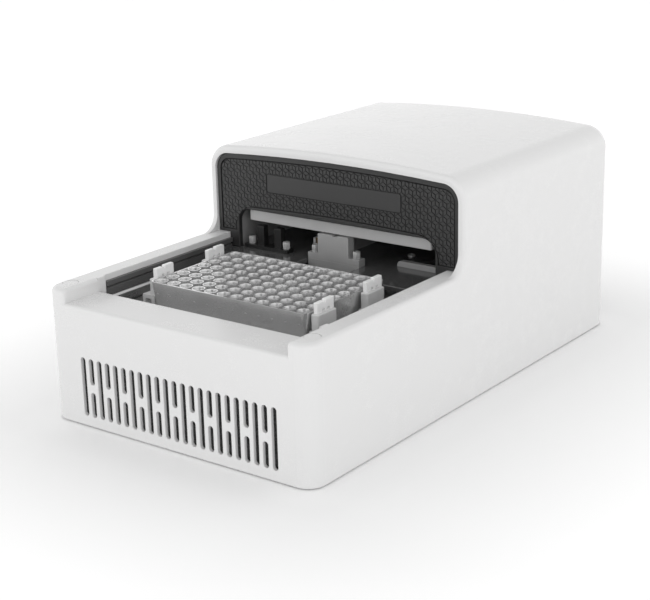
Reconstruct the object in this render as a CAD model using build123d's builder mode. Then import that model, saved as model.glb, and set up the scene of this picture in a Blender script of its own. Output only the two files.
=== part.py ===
from build123d import *
import math
import os

# Robot-deck thermal cycler, modelled in millimetres.
# The origin is on the bench under the middle of the object. +X is the object's right side,
# +Y is its back and +Z is up. The loading bay is at the front, the hood at the back.

os.makedirs("parts", exist_ok=True)

# ---------------------------------------------------------------- overall
WIDTH = 182.0
DEPTH = 316.0
HALF_W = WIDTH / 2
FRONT_Y = -DEPTH / 2
REAR_Y = DEPTH / 2
EDGE_Z = 0.8            # bottom edge of the housing above the bench
WALL = 3.0              # moulded wall thickness
GAP = 0.15              # small assembly gap between neighbouring pieces

# ---------------------------------------------------------------- housing
RIM_Z = 76.5            # top of the low rims beside the bay
RIM_ROUND = 2.8
FRONT_R = 10.0          # front vertical corners
BAY_HALF_W = 78.3       # inner faces of the rims
BAY_FRONT_Y = -131.0    # inner face of the front wall
CORNER_END_Y = -125.0   # where the front corner blocks end
NOTCH_HALF_W = 76.8     # lowered front wall
NOTCH_ROUND = 2.0       # edges of the corner blocks towards the notch
NOTCH_Z = 68.9
INNER_WALL_Z = 50.0     # lower edge of the bay's inner walls
HOOD_Y = -17.0          # front face of the hood
HOOD_TOP_Z = 133.5
CROWN_R = 1000.0
HOOD_CORNER_R = 14.0
HOOD_REAR_R = 11.5
HOOD_BAND = 4.6         # white band of the hood's front face round the fascia
COVE_R = 11.0           # concave sweep from rim to hood
PLUG_LEFT_X = -84.6
PLUG_RIGHT_X = 82.4
PLUG_Y = -144.2
PLUG_R = 4.4
PLUG_DEPTH = 1.6

# ---------------------------------------------------------------- front vents
VENT_COLUMNS = 23
VENT_PITCH = 6.02
VENT_CENTRE_X = 1.5
VENT_W = 3.5
VENT_TOP_Z = 40.6
VENT_BOTTOM_Z = 6.6
VENT_BREAK_TOP_Z = 25.6
VENT_BREAK_BOTTOM_Z = 21.0
VENT_WALL = 2.0         # wall thickness round the slots
FILTER_HALF_W = 71.8
FILTER_TOP_Z = 42.8
FILTER_T = 2.4

# ---------------------------------------------------------------- fascia
FASCIA_Y = -15.6        # front plane
FASCIA_T = 3.0
FASCIA_HALF_W = HALF_W - HOOD_BAND
FASCIA_TOP_Z = 128.35
FASCIA_CROWN_R = 1200.0
FASCIA_CORNER_R = 10.0
FASCIA_LEG_Z = RIM_Z + 0.3
FASCIA_STRIP_HALF_W = 77.9
OPENING_HALF_W = 70.75
OPENING_TOP_Z = 92.8
OPENING_R = 8.5
PANEL_BORDER = 3.2      # frame left round the outside of the panel
PANEL_INNER_SIDE = 2.1  # frame left beside the opening
PANEL_INNER_TOP = 3.3   # frame left above the opening
PANEL_INNER_R = 14.0
PANEL_BOTTOM_Z = 79.0
PANEL_T = 1.4
PANEL_GROOVE = 0.5

# ---------------------------------------------------------------- deck and bay
DECK_Z = 68.0
DECK_T = 3.0
DECK_FRONT_Y = -33.5
DECK_REAR_Y = 138.0
DECK_HALF_W = 75.5
TRAY_Z = 58.0
TRAY_T = 2.0
BASE_Z = 4.0            # top of the base plate
BASE_T = 2.0
LINER_X = 75.9
LINER_TOP_Z = 73.2
RAIL_TOP_Z = 64.8
RAIL_BOTTOM_Z = 59.4

# ---------------------------------------------------------------- sample block
BLOCK_Y = -77.0         # centre of the 12 x 8 well grid
WELL_PITCH = 9.0
WELL_COLUMNS = 12
WELL_ROWS = 8
BLOCK_HALF_X = 54.4
BLOCK_HALF_Y = 36.4
BLOCK_TOP_Z = 74.0
BLOCK_FLOOR_Z = 67.0
BLOCK_BOTTOM_Z = 57.0
BLOCK_DRAFT = 8.0
CUP_TOP_R = 3.75
CUP_H = BLOCK_TOP_Z - BLOCK_FLOOR_Z
CUP_DRAFT = 2.4
WELL_R = 3.2
WELL_DEPTH = 14.6
WELL_DRAFT = 9.0
PELTIER_T = 3.6
SINK_BASE_T = 8.0
SINK_HALF_X = 61.0
SINK_HALF_Y = 42.0
SINK_BOTTOM_Z = 8.0
FIN_COUNT = 23
FIN_T = 1.4

# ---------------------------------------------------------------- plate lifters
LIFTER_Y = 22.0         # cap centres in front of and behind the block's centre
POST_SHIFT_Y = -0.8
RIGHT_SHIFT_Y = -1.6    # the right pair stands a little further forward
POST_X0 = 54.9
POST_W = 5.0
POST_L = 16.5
POST_TOP_Z = 73.2
POST_ROUND = 1.2
FOOT_X1 = 64.0
FOOT_TOP_Z = 64.2
CAP_X0 = 55.5
CAP_W = 2.7
CAP_L = 14.3
CAP_TOP_Z = 79.5
CAP_LEG_Z = 66.6
CAP_CLEAR = 0.06
SPRING_SEAT_Z = 59.4
SPRING_WIRE_R = 0.25

# ---------------------------------------------------------------- lid
LID_TRAVEL = 110.0
LID_HALF_W = 65.5
LID_BOTTOM_Z = 85.1
LID_TOP_Z = 91.7
LID_FRONT_Y = -11.4
LID_REAR_Y = 136.0
RUNNER_HALF_W = 68.5
RUNNER_Z0 = 87.5
RUNNER_T = 2.0
PLATEN_HALF_X = 54.0
PLATEN_HALF_Y = 38.0
PLATEN_Z0 = 85.4
PLATEN_T = 4.3
PLATEN_Y = BLOCK_Y + LID_TRAVEL
PIN_X = 27.0
PIN_Y = 27.0
PIN_R = 1.5
PIN_BOTTOM_Z = 80.0
RUN_CLEAR = 0.05        # radial and side clearance of running fits

# ---------------------------------------------------------------- lid drive
SCREW_X = -14.1
SCREW_Z = 72.3
SCREW_R = 3.0
TROUGH_W = 16.0
TROUGH_TOP_Z = 78.4
TROUGH_Y0 = -5.0
BEARING_L = 6.0
NUT_Y = 123.0
MOTOR_Z = 48.0
MOTOR_SIZE = 28.0
MOTOR_L = 32.0
MOTOR_FACE_Y = 141.5
PULLEY_R = 6.0
PULLEY_Y0 = 144.6
BELT_W = 5.0
PULLEY_L = 6.1
BELT_T = 1.2

# ---------------------------------------------------------------- rear panel and fans
PANEL_HALF_W = 72.0
PANEL_Z0 = 9.0
PANEL_Z1 = 75.0
REAR_INNER_Y = REAR_Y - WALL
REAR_SHEET_T = 2.0
INLET_X = -48.0
INLET_Z = 28.0
SWITCH_Z = 55.0
SOCKET_Y0 = 131.0        # inner end of the inlet
SOCKET_Y1 = 156.2
PORT_X = 3.5
PORT_Y0 = 143.0
PORT_Y1 = 155.6
USB_Z = 24.0
NET_Z = 42.0
ROCKER_PIVOT_Y = 153.5
ROCKER_R = 8.9
ROCKER_TILT = 7.0
EXHAUST_X = 37.5
EXHAUST_Z = 38.0
EXHAUST_SIZE = 50.0
EXHAUST_T = 13.0
INTAKE_X = 26.0
INTAKE_Z = 28.5
INTAKE_SIZE = 45.0
INTAKE_T = 9.0
INTAKE_Y0 = -129.8

# ---------------------------------------------------------------- feet
FEET_X = 74.0
FEET_Y = 138.0

# ---------------------------------------------------------------- liner
LINER_STEP = 1.6

# ---------------------------------------------------------------- what stands on the deck
SENSOR_X0 = -69.0
SENSOR_X1 = -35.8
SENSOR_Y0 = -13.8
SENSOR_Y1 = -6.0
SENSOR_POST_X = (-57.0, -43.9)
SENSOR_POST_Z = 82.3
SENSOR_SCREW_X = (-65.0, -38.8)
DOCK_X = -1.8
DOCK_HALF_W = 18.5
DOCK_Y0 = -13.0
DOCK_T = 6.0
DOCK_SHOULDER_Z = 72.0
TONGUE_HALF_W = 11.0
TONGUE_TOP_Z = 84.4
DOCK_SCREW_DX = 14.9
SCREW_HEAD_W = 4.3
SCREW_HEAD_H = 4.4
SCREW_SHANK_R = 1.4
LEDGE_X0 = 34.0
LEDGE_SCREW = (29.3, 23.0)

# ---------------------------------------------------------------- tunnel round the lid
SIDE_X0 = 71.5
SIDE_T = 1.5
TUNNEL_Z = 96.0

# ---------------------------------------------------------------- lid rails
RAIL_Y0 = 5.0
RAIL_Y1 = 135.0

# ---------------------------------------------------------------- nut
NUT_L = 12.0

# ---------------------------------------------------------------- pieces in the rear panel
MODULE_W = 27.0          # power entry module with its switch
MODULE_Z0 = 18.0
MODULE_Z1 = 66.5
MODULE_BEZEL = 0.8
SOCKET_W = 23.0
SOCKET_H = 16.0
SWITCH_W = 15.0
SWITCH_H = 21.0
PORT_W = 16.0
NET_H = 13.4
USB_W = 12.0
USB_H = 11.0
REAR_SCREWS = [(-65.2, 20), (65.2, 20), (-65.2, 66), (65.2, 66)]

# ---------------------------------------------------------------- electronics
PSU_SIZE = (46.0, 88.0, 38.0)
PSU_CENTRE = (-42.0, 60.0)
BOARD_SIZE = (60.0, 88.0)
BOARD_CENTRE = (33.0, 48.0)
BOARD_Z = 9.0
BOARD_T = 1.6

# ---------------------------------------------------------------- board blocks
# centre x, centre y, width, depth and height of the blocks on the board
BOARD_BLOCKS = [
    (14, 20, 14, 14, 2.2),
    (40, 24, 22, 30, 16),
    (14, 50, 10, 18, 9),
    (52, 60, 12, 40, 11),
    (28, 74, 16, 16, 2.4),
    (26, 86, 30, 7, 10),
]


def save(piece, name):
    """Label one finished piece and write its STEP file."""
    piece.part.label = name
    export_step(piece.part, "parts/" + name + ".step")


def crowned_face(half_w, top_z, bottom_z, corner_r, crown_r):
    """Face with a crowned top and rounded top corners, drawn as (across, up)."""
    shoulder_z = top_z - (crown_r - math.sqrt(crown_r**2 - half_w**2))
    with BuildSketch() as face:
        with BuildLine():
            ThreePointArc((-half_w, shoulder_z), (0, top_z), (half_w, shoulder_z))
            Polyline((half_w, shoulder_z), (half_w, bottom_z), (-half_w, bottom_z), (-half_w, shoulder_z))
        make_face()
        fillet(face.vertices().filter_by(lambda v: v.Y > bottom_z + 1), radius=corner_r)
    return face.sketch


# ================================================================ housing
with BuildPart() as housing:
    # low front body
    with BuildSketch(Plane.XY.offset(EDGE_Z)) as tray_plan:
        with Locations((0, (FRONT_Y + HOOD_Y + 10) / 2)):
            Rectangle(WIDTH, HOOD_Y + 10 - FRONT_Y)
        fillet(tray_plan.vertices().sort_by(Axis.Y)[:2], radius=FRONT_R)
    extrude(amount=RIM_Z - EDGE_Z)
    # hood
    with BuildSketch(Plane.XZ.offset(-HOOD_Y)):
        add(crowned_face(HALF_W, HOOD_TOP_Z, EDGE_Z, HOOD_CORNER_R, CROWN_R))
    extrude(amount=-(REAR_Y - HOOD_Y))
    rear_face = housing.faces().sort_by(Axis.Y)[-1]
    fillet(rear_face.edges().filter_by(lambda e: e.center().Z > EDGE_Z + 1), radius=HOOD_REAR_R)
    # concave sweep from each rim up to the hood's front face
    with BuildSketch(Plane.YZ.offset(FASCIA_HALF_W)) as cove:
        with BuildLine():
            Polyline((HOOD_Y - COVE_R, RIM_Z - 1), (HOOD_Y + 1, RIM_Z - 1), (HOOD_Y + 1, RIM_Z + COVE_R))
            Line((HOOD_Y + 1, RIM_Z + COVE_R), (HOOD_Y, RIM_Z + COVE_R))
            RadiusArc((HOOD_Y, RIM_Z + COVE_R), (HOOD_Y - COVE_R, RIM_Z), COVE_R)
            Line((HOOD_Y - COVE_R, RIM_Z), (HOOD_Y - COVE_R, RIM_Z - 1))
        make_face()
    extrude(amount=HOOD_BAND)
    mirror(about=Plane.YZ)
    # one soft edge runs along the rims, up both sweeps and over the hood's front
    rim_edges = housing.edges().filter_by(
        lambda e: abs(e.center().Z - RIM_Z) < 0.01 and e.center().Y < HOOD_Y - COVE_R - 0.1
    )
    sweep_edges = housing.edges().filter_by(
        lambda e: abs(abs(e.center().X) - HALF_W) < 0.01
        and HOOD_Y - COVE_R < e.center().Y < HOOD_Y - 0.1
        and RIM_Z + 0.1 < e.center().Z < RIM_Z + COVE_R
    )
    hood_edges = housing.edges().filter_by(
        lambda e: abs(e.center().Y - HOOD_Y) < 0.01 and e.center().Z > RIM_Z + COVE_R + 0.1
    )
    fillet(rim_edges + sweep_edges + hood_edges, radius=RIM_ROUND)
    # lowered front wall
    with BuildSketch(Plane.XY.offset(NOTCH_Z)):
        with Locations((0, (FRONT_Y - 1 + BAY_FRONT_Y) / 2)):
            Rectangle(2 * NOTCH_HALF_W, BAY_FRONT_Y - FRONT_Y + 1)
    extrude(amount=RIM_Z - NOTCH_Z + 1, mode=Mode.SUBTRACT)
    notch_edge = housing.edges().filter_by(Axis.X).filter_by(
        lambda e: abs(e.center().Z - NOTCH_Z) < 0.01 and abs(e.center().Y - FRONT_Y) < 0.01
    )
    block_edges = housing.edges().filter_by(Axis.Z).filter_by(
        lambda e: abs(abs(e.center().X) - NOTCH_HALF_W) < 0.01 and abs(e.center().Y - FRONT_Y) < 0.01
    )
    fillet(notch_edge + block_edges, radius=NOTCH_ROUND)
    # loading bay, open from above and below
    with BuildSketch(Plane.XY):
        with Locations((0, (BAY_FRONT_Y + CORNER_END_Y) / 2 + 1)):
            Rectangle(2 * NOTCH_HALF_W, CORNER_END_Y - BAY_FRONT_Y + 2)
        with Locations((0, (CORNER_END_Y + HOOD_Y + 5) / 2)):
            Rectangle(2 * BAY_HALF_W, HOOD_Y + 5 - CORNER_END_Y)
    extrude(amount=RIM_Z + 1, mode=Mode.SUBTRACT)
    # hollow between the outer and inner walls
    with BuildSketch(Plane.XY) as wall_hollow:
        with Locations((0, (FRONT_Y + WALL + HOOD_Y + 5) / 2)):
            Rectangle(WIDTH - 2 * WALL, HOOD_Y + 5 - FRONT_Y - WALL)
        fillet(wall_hollow.vertices().sort_by(Axis.Y)[:2], radius=FRONT_R - WALL)
        with Locations((0, (BAY_FRONT_Y - WALL + HOOD_Y + 6) / 2)):
            Rectangle(2 * (BAY_HALF_W + WALL), HOOD_Y + 6 - BAY_FRONT_Y + WALL, mode=Mode.SUBTRACT)
    extrude(amount=NOTCH_Z - WALL, mode=Mode.SUBTRACT)
    with BuildSketch(Plane.XY.offset(NOTCH_Z - WALL - 0.01)):
        rim_hollow_w = HALF_W - WALL - BAY_HALF_W - WALL
        for side in (-1, 1):
            with Locations((side * (BAY_HALF_W + WALL + rim_hollow_w / 2), (FRONT_Y + 12 + HOOD_Y + 5) / 2)):
                Rectangle(rim_hollow_w, HOOD_Y + 5 - FRONT_Y - 12)
    extrude(amount=RIM_Z - NOTCH_Z, mode=Mode.SUBTRACT)
    with BuildSketch(Plane.XY):
        with Locations((0, (BAY_FRONT_Y - WALL + HOOD_Y + 5) / 2)):
            Rectangle(2 * (BAY_HALF_W + WALL), HOOD_Y + 5 - BAY_FRONT_Y + WALL)
    extrude(amount=INNER_WALL_Z, mode=Mode.SUBTRACT)
    # opening in the hood's front for the fascia
    with BuildSketch(Plane.XZ.offset(-(HOOD_Y - 1))):
        add(
            crowned_face(
                FASCIA_HALF_W + GAP, FASCIA_TOP_Z + GAP, RIM_Z, FASCIA_CORNER_R + GAP, FASCIA_CROWN_R
            )
        )
    extrude(amount=-7, mode=Mode.SUBTRACT)
    # front vent slots: full-height columns alternate with columns split in two
    with BuildSketch(Plane.XZ.offset(-(FRONT_Y - 1))):
        first_x = VENT_CENTRE_X - VENT_PITCH * (VENT_COLUMNS - 1) / 2
        for column in range(VENT_COLUMNS):
            x = first_x + column * VENT_PITCH
            if column % 2 == 0:
                spans = [(VENT_BOTTOM_Z, VENT_TOP_Z)]
            else:
                spans = [(VENT_BOTTOM_Z, VENT_BREAK_BOTTOM_Z), (VENT_BREAK_TOP_Z, VENT_TOP_Z)]
            for low, high in spans:
                with Locations((x, (low + high) / 2)):
                    SlotOverall(high - low, VENT_W, rotation=90)
    extrude(amount=-(WALL + 1.5), mode=Mode.SUBTRACT)
    # thinner wall round the slots
    with BuildSketch(Plane.XZ.offset(-(FRONT_Y + VENT_WALL))):
        with Locations((0, (BASE_Z + FILTER_TOP_Z + 0.1) / 2)):
            Rectangle(2 * FILTER_HALF_W + 0.2, FILTER_TOP_Z + 0.1 - BASE_Z)
    extrude(amount=-(WALL - VENT_WALL), mode=Mode.SUBTRACT)
    # seats of the corner plugs
    with BuildSketch(Plane.XY.offset(RIM_Z - PLUG_DEPTH)):
        with Locations((PLUG_LEFT_X, PLUG_Y), (PLUG_RIGHT_X, PLUG_Y)):
            Circle(PLUG_R + 0.12)
    extrude(amount=PLUG_DEPTH + 1, mode=Mode.SUBTRACT)

# the hollow under the hood follows its outside, one wall further in
with BuildPart() as hood_hollow:
    with BuildSketch(Plane.XZ.offset(-(HOOD_Y + 5))):
        add(crowned_face(HALF_W - WALL, HOOD_TOP_Z - WALL, EDGE_Z - 1, HOOD_CORNER_R - WALL, CROWN_R - WALL))
    extrude(amount=-(REAR_INNER_Y - HOOD_Y - 5))
    hollow_rear = hood_hollow.faces().sort_by(Axis.Y)[-1]
    fillet(hollow_rear.edges().filter_by(lambda e: e.center().Z > EDGE_Z + 1), radius=HOOD_REAR_R - WALL)

with BuildPart() as housing_cover:
    add(housing.part)
    add(hood_hollow.part, mode=Mode.SUBTRACT)
    # opening for the rear panel
    with BuildSketch(Plane.XZ.offset(-(REAR_INNER_Y - 1))) as rear_opening:
        with Locations((0, (PANEL_Z0 + PANEL_Z1) / 2)):
            Rectangle(2 * (PANEL_HALF_W - 4), PANEL_Z1 - PANEL_Z0 - 8)
        fillet(rear_opening.vertices(), radius=3)
    extrude(amount=-(WALL + 2), mode=Mode.SUBTRACT)
save(housing_cover, "housing_cover")

with BuildPart() as corner_plugs:
    with BuildSketch(Plane.XY.offset(RIM_Z - PLUG_DEPTH)):
        with Locations((PLUG_LEFT_X, PLUG_Y), (PLUG_RIGHT_X, PLUG_Y)):
            Circle(PLUG_R)
    extrude(amount=PLUG_DEPTH - 0.1)
    fillet(corner_plugs.edges().group_by(Axis.Z)[-1], radius=0.35)
save(corner_plugs, "corner_plugs")

with BuildPart() as base_plate:
    with BuildSketch(Plane.XY.offset(BASE_Z - BASE_T)) as base_outline:
        Rectangle(WIDTH - 2 * WALL - 0.6, DEPTH - 2 * WALL - 0.6)
        fillet(base_outline.vertices(), radius=FRONT_R - 1)
    extrude(amount=BASE_T)
    with BuildSketch(Plane.XY.offset(BASE_Z - BASE_T)):
        with Locations((0, BLOCK_Y)):
            with GridLocations(9, 44, 9, 2):
                SlotOverall(34, 4, rotation=90)
    extrude(amount=BASE_T, mode=Mode.SUBTRACT)
save(base_plate, "base_plate")

with BuildPart() as rubber_feet:
    with BuildSketch(Plane.XY):
        with GridLocations(2 * FEET_X, 2 * FEET_Y, 2, 2):
            Circle(8)
    extrude(amount=BASE_Z - BASE_T)
    chamfer(rubber_feet.edges().group_by(Axis.Z)[0], length=0.5)
save(rubber_feet, "rubber_feet")

# foam air filter behind the vent slots
with BuildPart() as air_filter:
    with BuildSketch(Plane.XZ.offset(-(FRONT_Y + VENT_WALL))):
        with Locations((0, (BASE_Z + FILTER_TOP_Z) / 2)):
            Rectangle(2 * FILTER_HALF_W, FILTER_TOP_Z - BASE_Z)
    extrude(amount=-FILTER_T)
save(air_filter, "air_filter")

# ================================================================ fascia
PANEL_HALF = FASCIA_HALF_W - PANEL_BORDER
with BuildPart() as fascia_frame:
    with BuildSketch(Plane.XZ.offset(-FASCIA_Y)) as fascia_shape:
        add(crowned_face(FASCIA_HALF_W, FASCIA_TOP_Z, FASCIA_LEG_Z, FASCIA_CORNER_R, FASCIA_CROWN_R))
        # narrow strips beside the opening reach down to the deck
        with Locations((0, (DECK_Z + 0.2 + FASCIA_LEG_Z + 1) / 2)):
            Rectangle(2 * FASCIA_STRIP_HALF_W, FASCIA_LEG_Z + 1 - DECK_Z - 0.2)
        add(crowned_face(OPENING_HALF_W, OPENING_TOP_Z, 0, OPENING_R, 8 * FASCIA_CROWN_R), mode=Mode.SUBTRACT)
    extrude(amount=-FASCIA_T)
    front_face = fascia_frame.faces().sort_by(Axis.Y)[0]
    fillet(front_face.edges().filter_by(lambda e: e.center().Z > FASCIA_LEG_Z + 1), radius=0.5)
    # recess for the textured panel
    with BuildSketch(Plane.XZ.offset(-(FASCIA_Y + PANEL_T))):
        add(
            crowned_face(
                PANEL_HALF + PANEL_GROOVE,
                FASCIA_TOP_Z - PANEL_BORDER - 0.4 + PANEL_GROOVE,
                PANEL_BOTTOM_Z - PANEL_GROOVE,
                FASCIA_CORNER_R - PANEL_BORDER + PANEL_GROOVE,
                FASCIA_CROWN_R,
            )
        )
        add(
            crowned_face(
                OPENING_HALF_W + PANEL_INNER_SIDE - PANEL_GROOVE,
                OPENING_TOP_Z + PANEL_INNER_TOP - PANEL_GROOVE,
                0,
                PANEL_INNER_R - PANEL_GROOVE,
                FASCIA_CROWN_R,
            ),
            mode=Mode.SUBTRACT,
        )
    extrude(amount=5, mode=Mode.SUBTRACT)
save(fascia_frame, "fascia_frame")

with BuildPart() as fascia_panel:
    with BuildSketch(Plane.XZ.offset(-(FASCIA_Y + PANEL_T))):
        add(
            crowned_face(
                PANEL_HALF,
                FASCIA_TOP_Z - PANEL_BORDER - 0.4,
                PANEL_BOTTOM_Z,
                FASCIA_CORNER_R - PANEL_BORDER,
                FASCIA_CROWN_R,
            )
        )
        add(
            crowned_face(
                OPENING_HALF_W + PANEL_INNER_SIDE,
                OPENING_TOP_Z + PANEL_INNER_TOP,
                0,
                PANEL_INNER_R,
                FASCIA_CROWN_R,
            ),
            mode=Mode.SUBTRACT,
        )
    extrude(amount=PANEL_T - 0.2)
save(fascia_panel, "fascia_panel")

# ================================================================ loading bay
with BuildPart() as bay_tray:
    with BuildSketch(Plane.XY.offset(TRAY_Z - TRAY_T)) as tray_shape:
        with Locations((0, (BAY_FRONT_Y + DECK_FRONT_Y) / 2)):
            Rectangle(2 * (NOTCH_HALF_W - 0.2), DECK_FRONT_Y - BAY_FRONT_Y - 0.4)
        fillet(tray_shape.vertices(), radius=1.5)
        with Locations((0, BLOCK_Y)):
            Rectangle(2 * (BLOCK_HALF_X - 0.6), 2 * (BLOCK_HALF_Y - 0.6), mode=Mode.SUBTRACT)
    extrude(amount=TRAY_T)
save(bay_tray, "bay_tray")

with BuildPart() as bay_liners:
    with BuildSketch(Plane.XZ.offset(-(CORNER_END_Y + 0.2))):
        with BuildLine():
            Polyline(
                (BAY_HALF_W - 0.1, LINER_TOP_Z),
                (LINER_X, LINER_TOP_Z),
                (LINER_X, LINER_TOP_Z - 2.6),
                (LINER_X + LINER_STEP, LINER_TOP_Z - 2.6),
                (LINER_X + LINER_STEP, LINER_TOP_Z - 3.8),
                (LINER_X + 0.6, LINER_TOP_Z - 3.8),
                (LINER_X + 0.6, RAIL_TOP_Z + 0.1),
                (BAY_HALF_W - 0.1, RAIL_TOP_Z + 0.1),
                (BAY_HALF_W - 0.1, LINER_TOP_Z),
            )
        make_face()
    extrude(amount=-(FASCIA_Y - 0.6 - CORNER_END_Y - 0.2))
    mirror(about=Plane.YZ)
save(bay_liners, "bay_liners")

with BuildPart() as side_rails:
    with BuildSketch(Plane.XZ.offset(-(CORNER_END_Y + 0.2))) as rail_profile:
        with BuildLine():
            Polyline(
                (BAY_HALF_W - 0.1, RAIL_TOP_Z),
                (LINER_X - 0.2, RAIL_TOP_Z),
                (LINER_X - 1.3, RAIL_TOP_Z - 1.1),
                (LINER_X - 1.3, RAIL_BOTTOM_Z),
                (BAY_HALF_W - 0.1, RAIL_BOTTOM_Z),
                (BAY_HALF_W - 0.1, RAIL_TOP_Z),
            )
        make_face()
    extrude(amount=-(DECK_FRONT_Y - 0.4 - CORNER_END_Y - 0.2))
    mirror(about=Plane.YZ)
save(side_rails, "side_rails")

# ================================================================ sample block
block_h = BLOCK_TOP_Z - BLOCK_BOTTOM_Z
block_slope = math.tan(math.radians(BLOCK_DRAFT))
cup_base_r = CUP_TOP_R + CUP_H * math.tan(math.radians(CUP_DRAFT))
well_tip_r = WELL_R - WELL_DEPTH * math.tan(math.radians(WELL_DRAFT))
with BuildPart() as sample_block:
    with BuildSketch(Plane.XY.offset(BLOCK_BOTTOM_Z)) as block_foot:
        with Locations((0, BLOCK_Y)):
            Rectangle(2 * (BLOCK_HALF_X - block_h * block_slope), 2 * (BLOCK_HALF_Y - block_h * block_slope))
        fillet(block_foot.vertices(), radius=0.8)
    extrude(amount=block_h, taper=-BLOCK_DRAFT)
    # pocket round the cups leaves a thin outer wall
    pocket_in = CUP_H * block_slope + 0.8
    with BuildSketch(Plane.XY.offset(BLOCK_FLOOR_Z)) as block_pocket:
        with Locations((0, BLOCK_Y)):
            Rectangle(2 * (BLOCK_HALF_X - pocket_in), 2 * (BLOCK_HALF_Y - pocket_in))
        fillet(block_pocket.vertices(), radius=1.2)
    extrude(amount=CUP_H + 0.5, taper=-BLOCK_DRAFT, mode=Mode.SUBTRACT)
    with BuildSketch(Plane.XY.offset(BLOCK_FLOOR_Z - 0.01)):
        with Locations((0, BLOCK_Y)):
            with GridLocations(WELL_PITCH, WELL_PITCH, WELL_COLUMNS, WELL_ROWS):
                Circle(cup_base_r)
    extrude(amount=CUP_H + 0.01, taper=CUP_DRAFT)
    with BuildSketch(Plane.XY.offset(BLOCK_TOP_Z - WELL_DEPTH)):
        with Locations((0, BLOCK_Y)):
            with GridLocations(WELL_PITCH, WELL_PITCH, WELL_COLUMNS, WELL_ROWS):
                Circle(well_tip_r)
    extrude(amount=WELL_DEPTH + 0.01, taper=-WELL_DRAFT, mode=Mode.SUBTRACT)
save(sample_block, "sample_block")

with BuildPart() as peltier_modules:
    with BuildSketch(Plane.XY.offset(BLOCK_BOTTOM_Z - PELTIER_T)):
        with Locations((0, BLOCK_Y)):
            with GridLocations(33, 32, 3, 2):
                Rectangle(30, 30)
    extrude(amount=PELTIER_T)
save(peltier_modules, "peltier_modules")

sink_top = BLOCK_BOTTOM_Z - PELTIER_T
fin_pitch = (2 * SINK_HALF_X - FIN_T) / (FIN_COUNT - 1)
with BuildPart() as heat_sink:
    with BuildSketch(Plane.XY.offset(sink_top - SINK_BASE_T)):
        with Locations((0, BLOCK_Y)):
            Rectangle(2 * SINK_HALF_X, 2 * SINK_HALF_Y)
    extrude(amount=SINK_BASE_T)
    with BuildSketch(Plane.XY.offset(SINK_BOTTOM_Z)):
        with Locations((0, BLOCK_Y)):
            with GridLocations(fin_pitch, 1, FIN_COUNT, 1):
                Rectangle(FIN_T, 2 * SINK_HALF_Y)
    extrude(amount=sink_top - SINK_BASE_T - SINK_BOTTOM_Z)
save(heat_sink, "heat_sink")

# ================================================================ plate lifters
LIFTERS = {
    "front_left": (-1, -1),
    "front_right": (1, -1),
    "rear_left": (-1, 1),
    "rear_right": (1, 1),
}
slot_w = CAP_W + 2 * CAP_CLEAR
slot_l = CAP_L + 2 * CAP_CLEAR
cap_mid = CAP_X0 + CAP_W / 2

spring_foot = SPRING_SEAT_Z + SPRING_WIRE_R + 0.05
spring_h = CAP_LEG_Z - SPRING_SEAT_Z - 2 * SPRING_WIRE_R - 0.1

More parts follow.
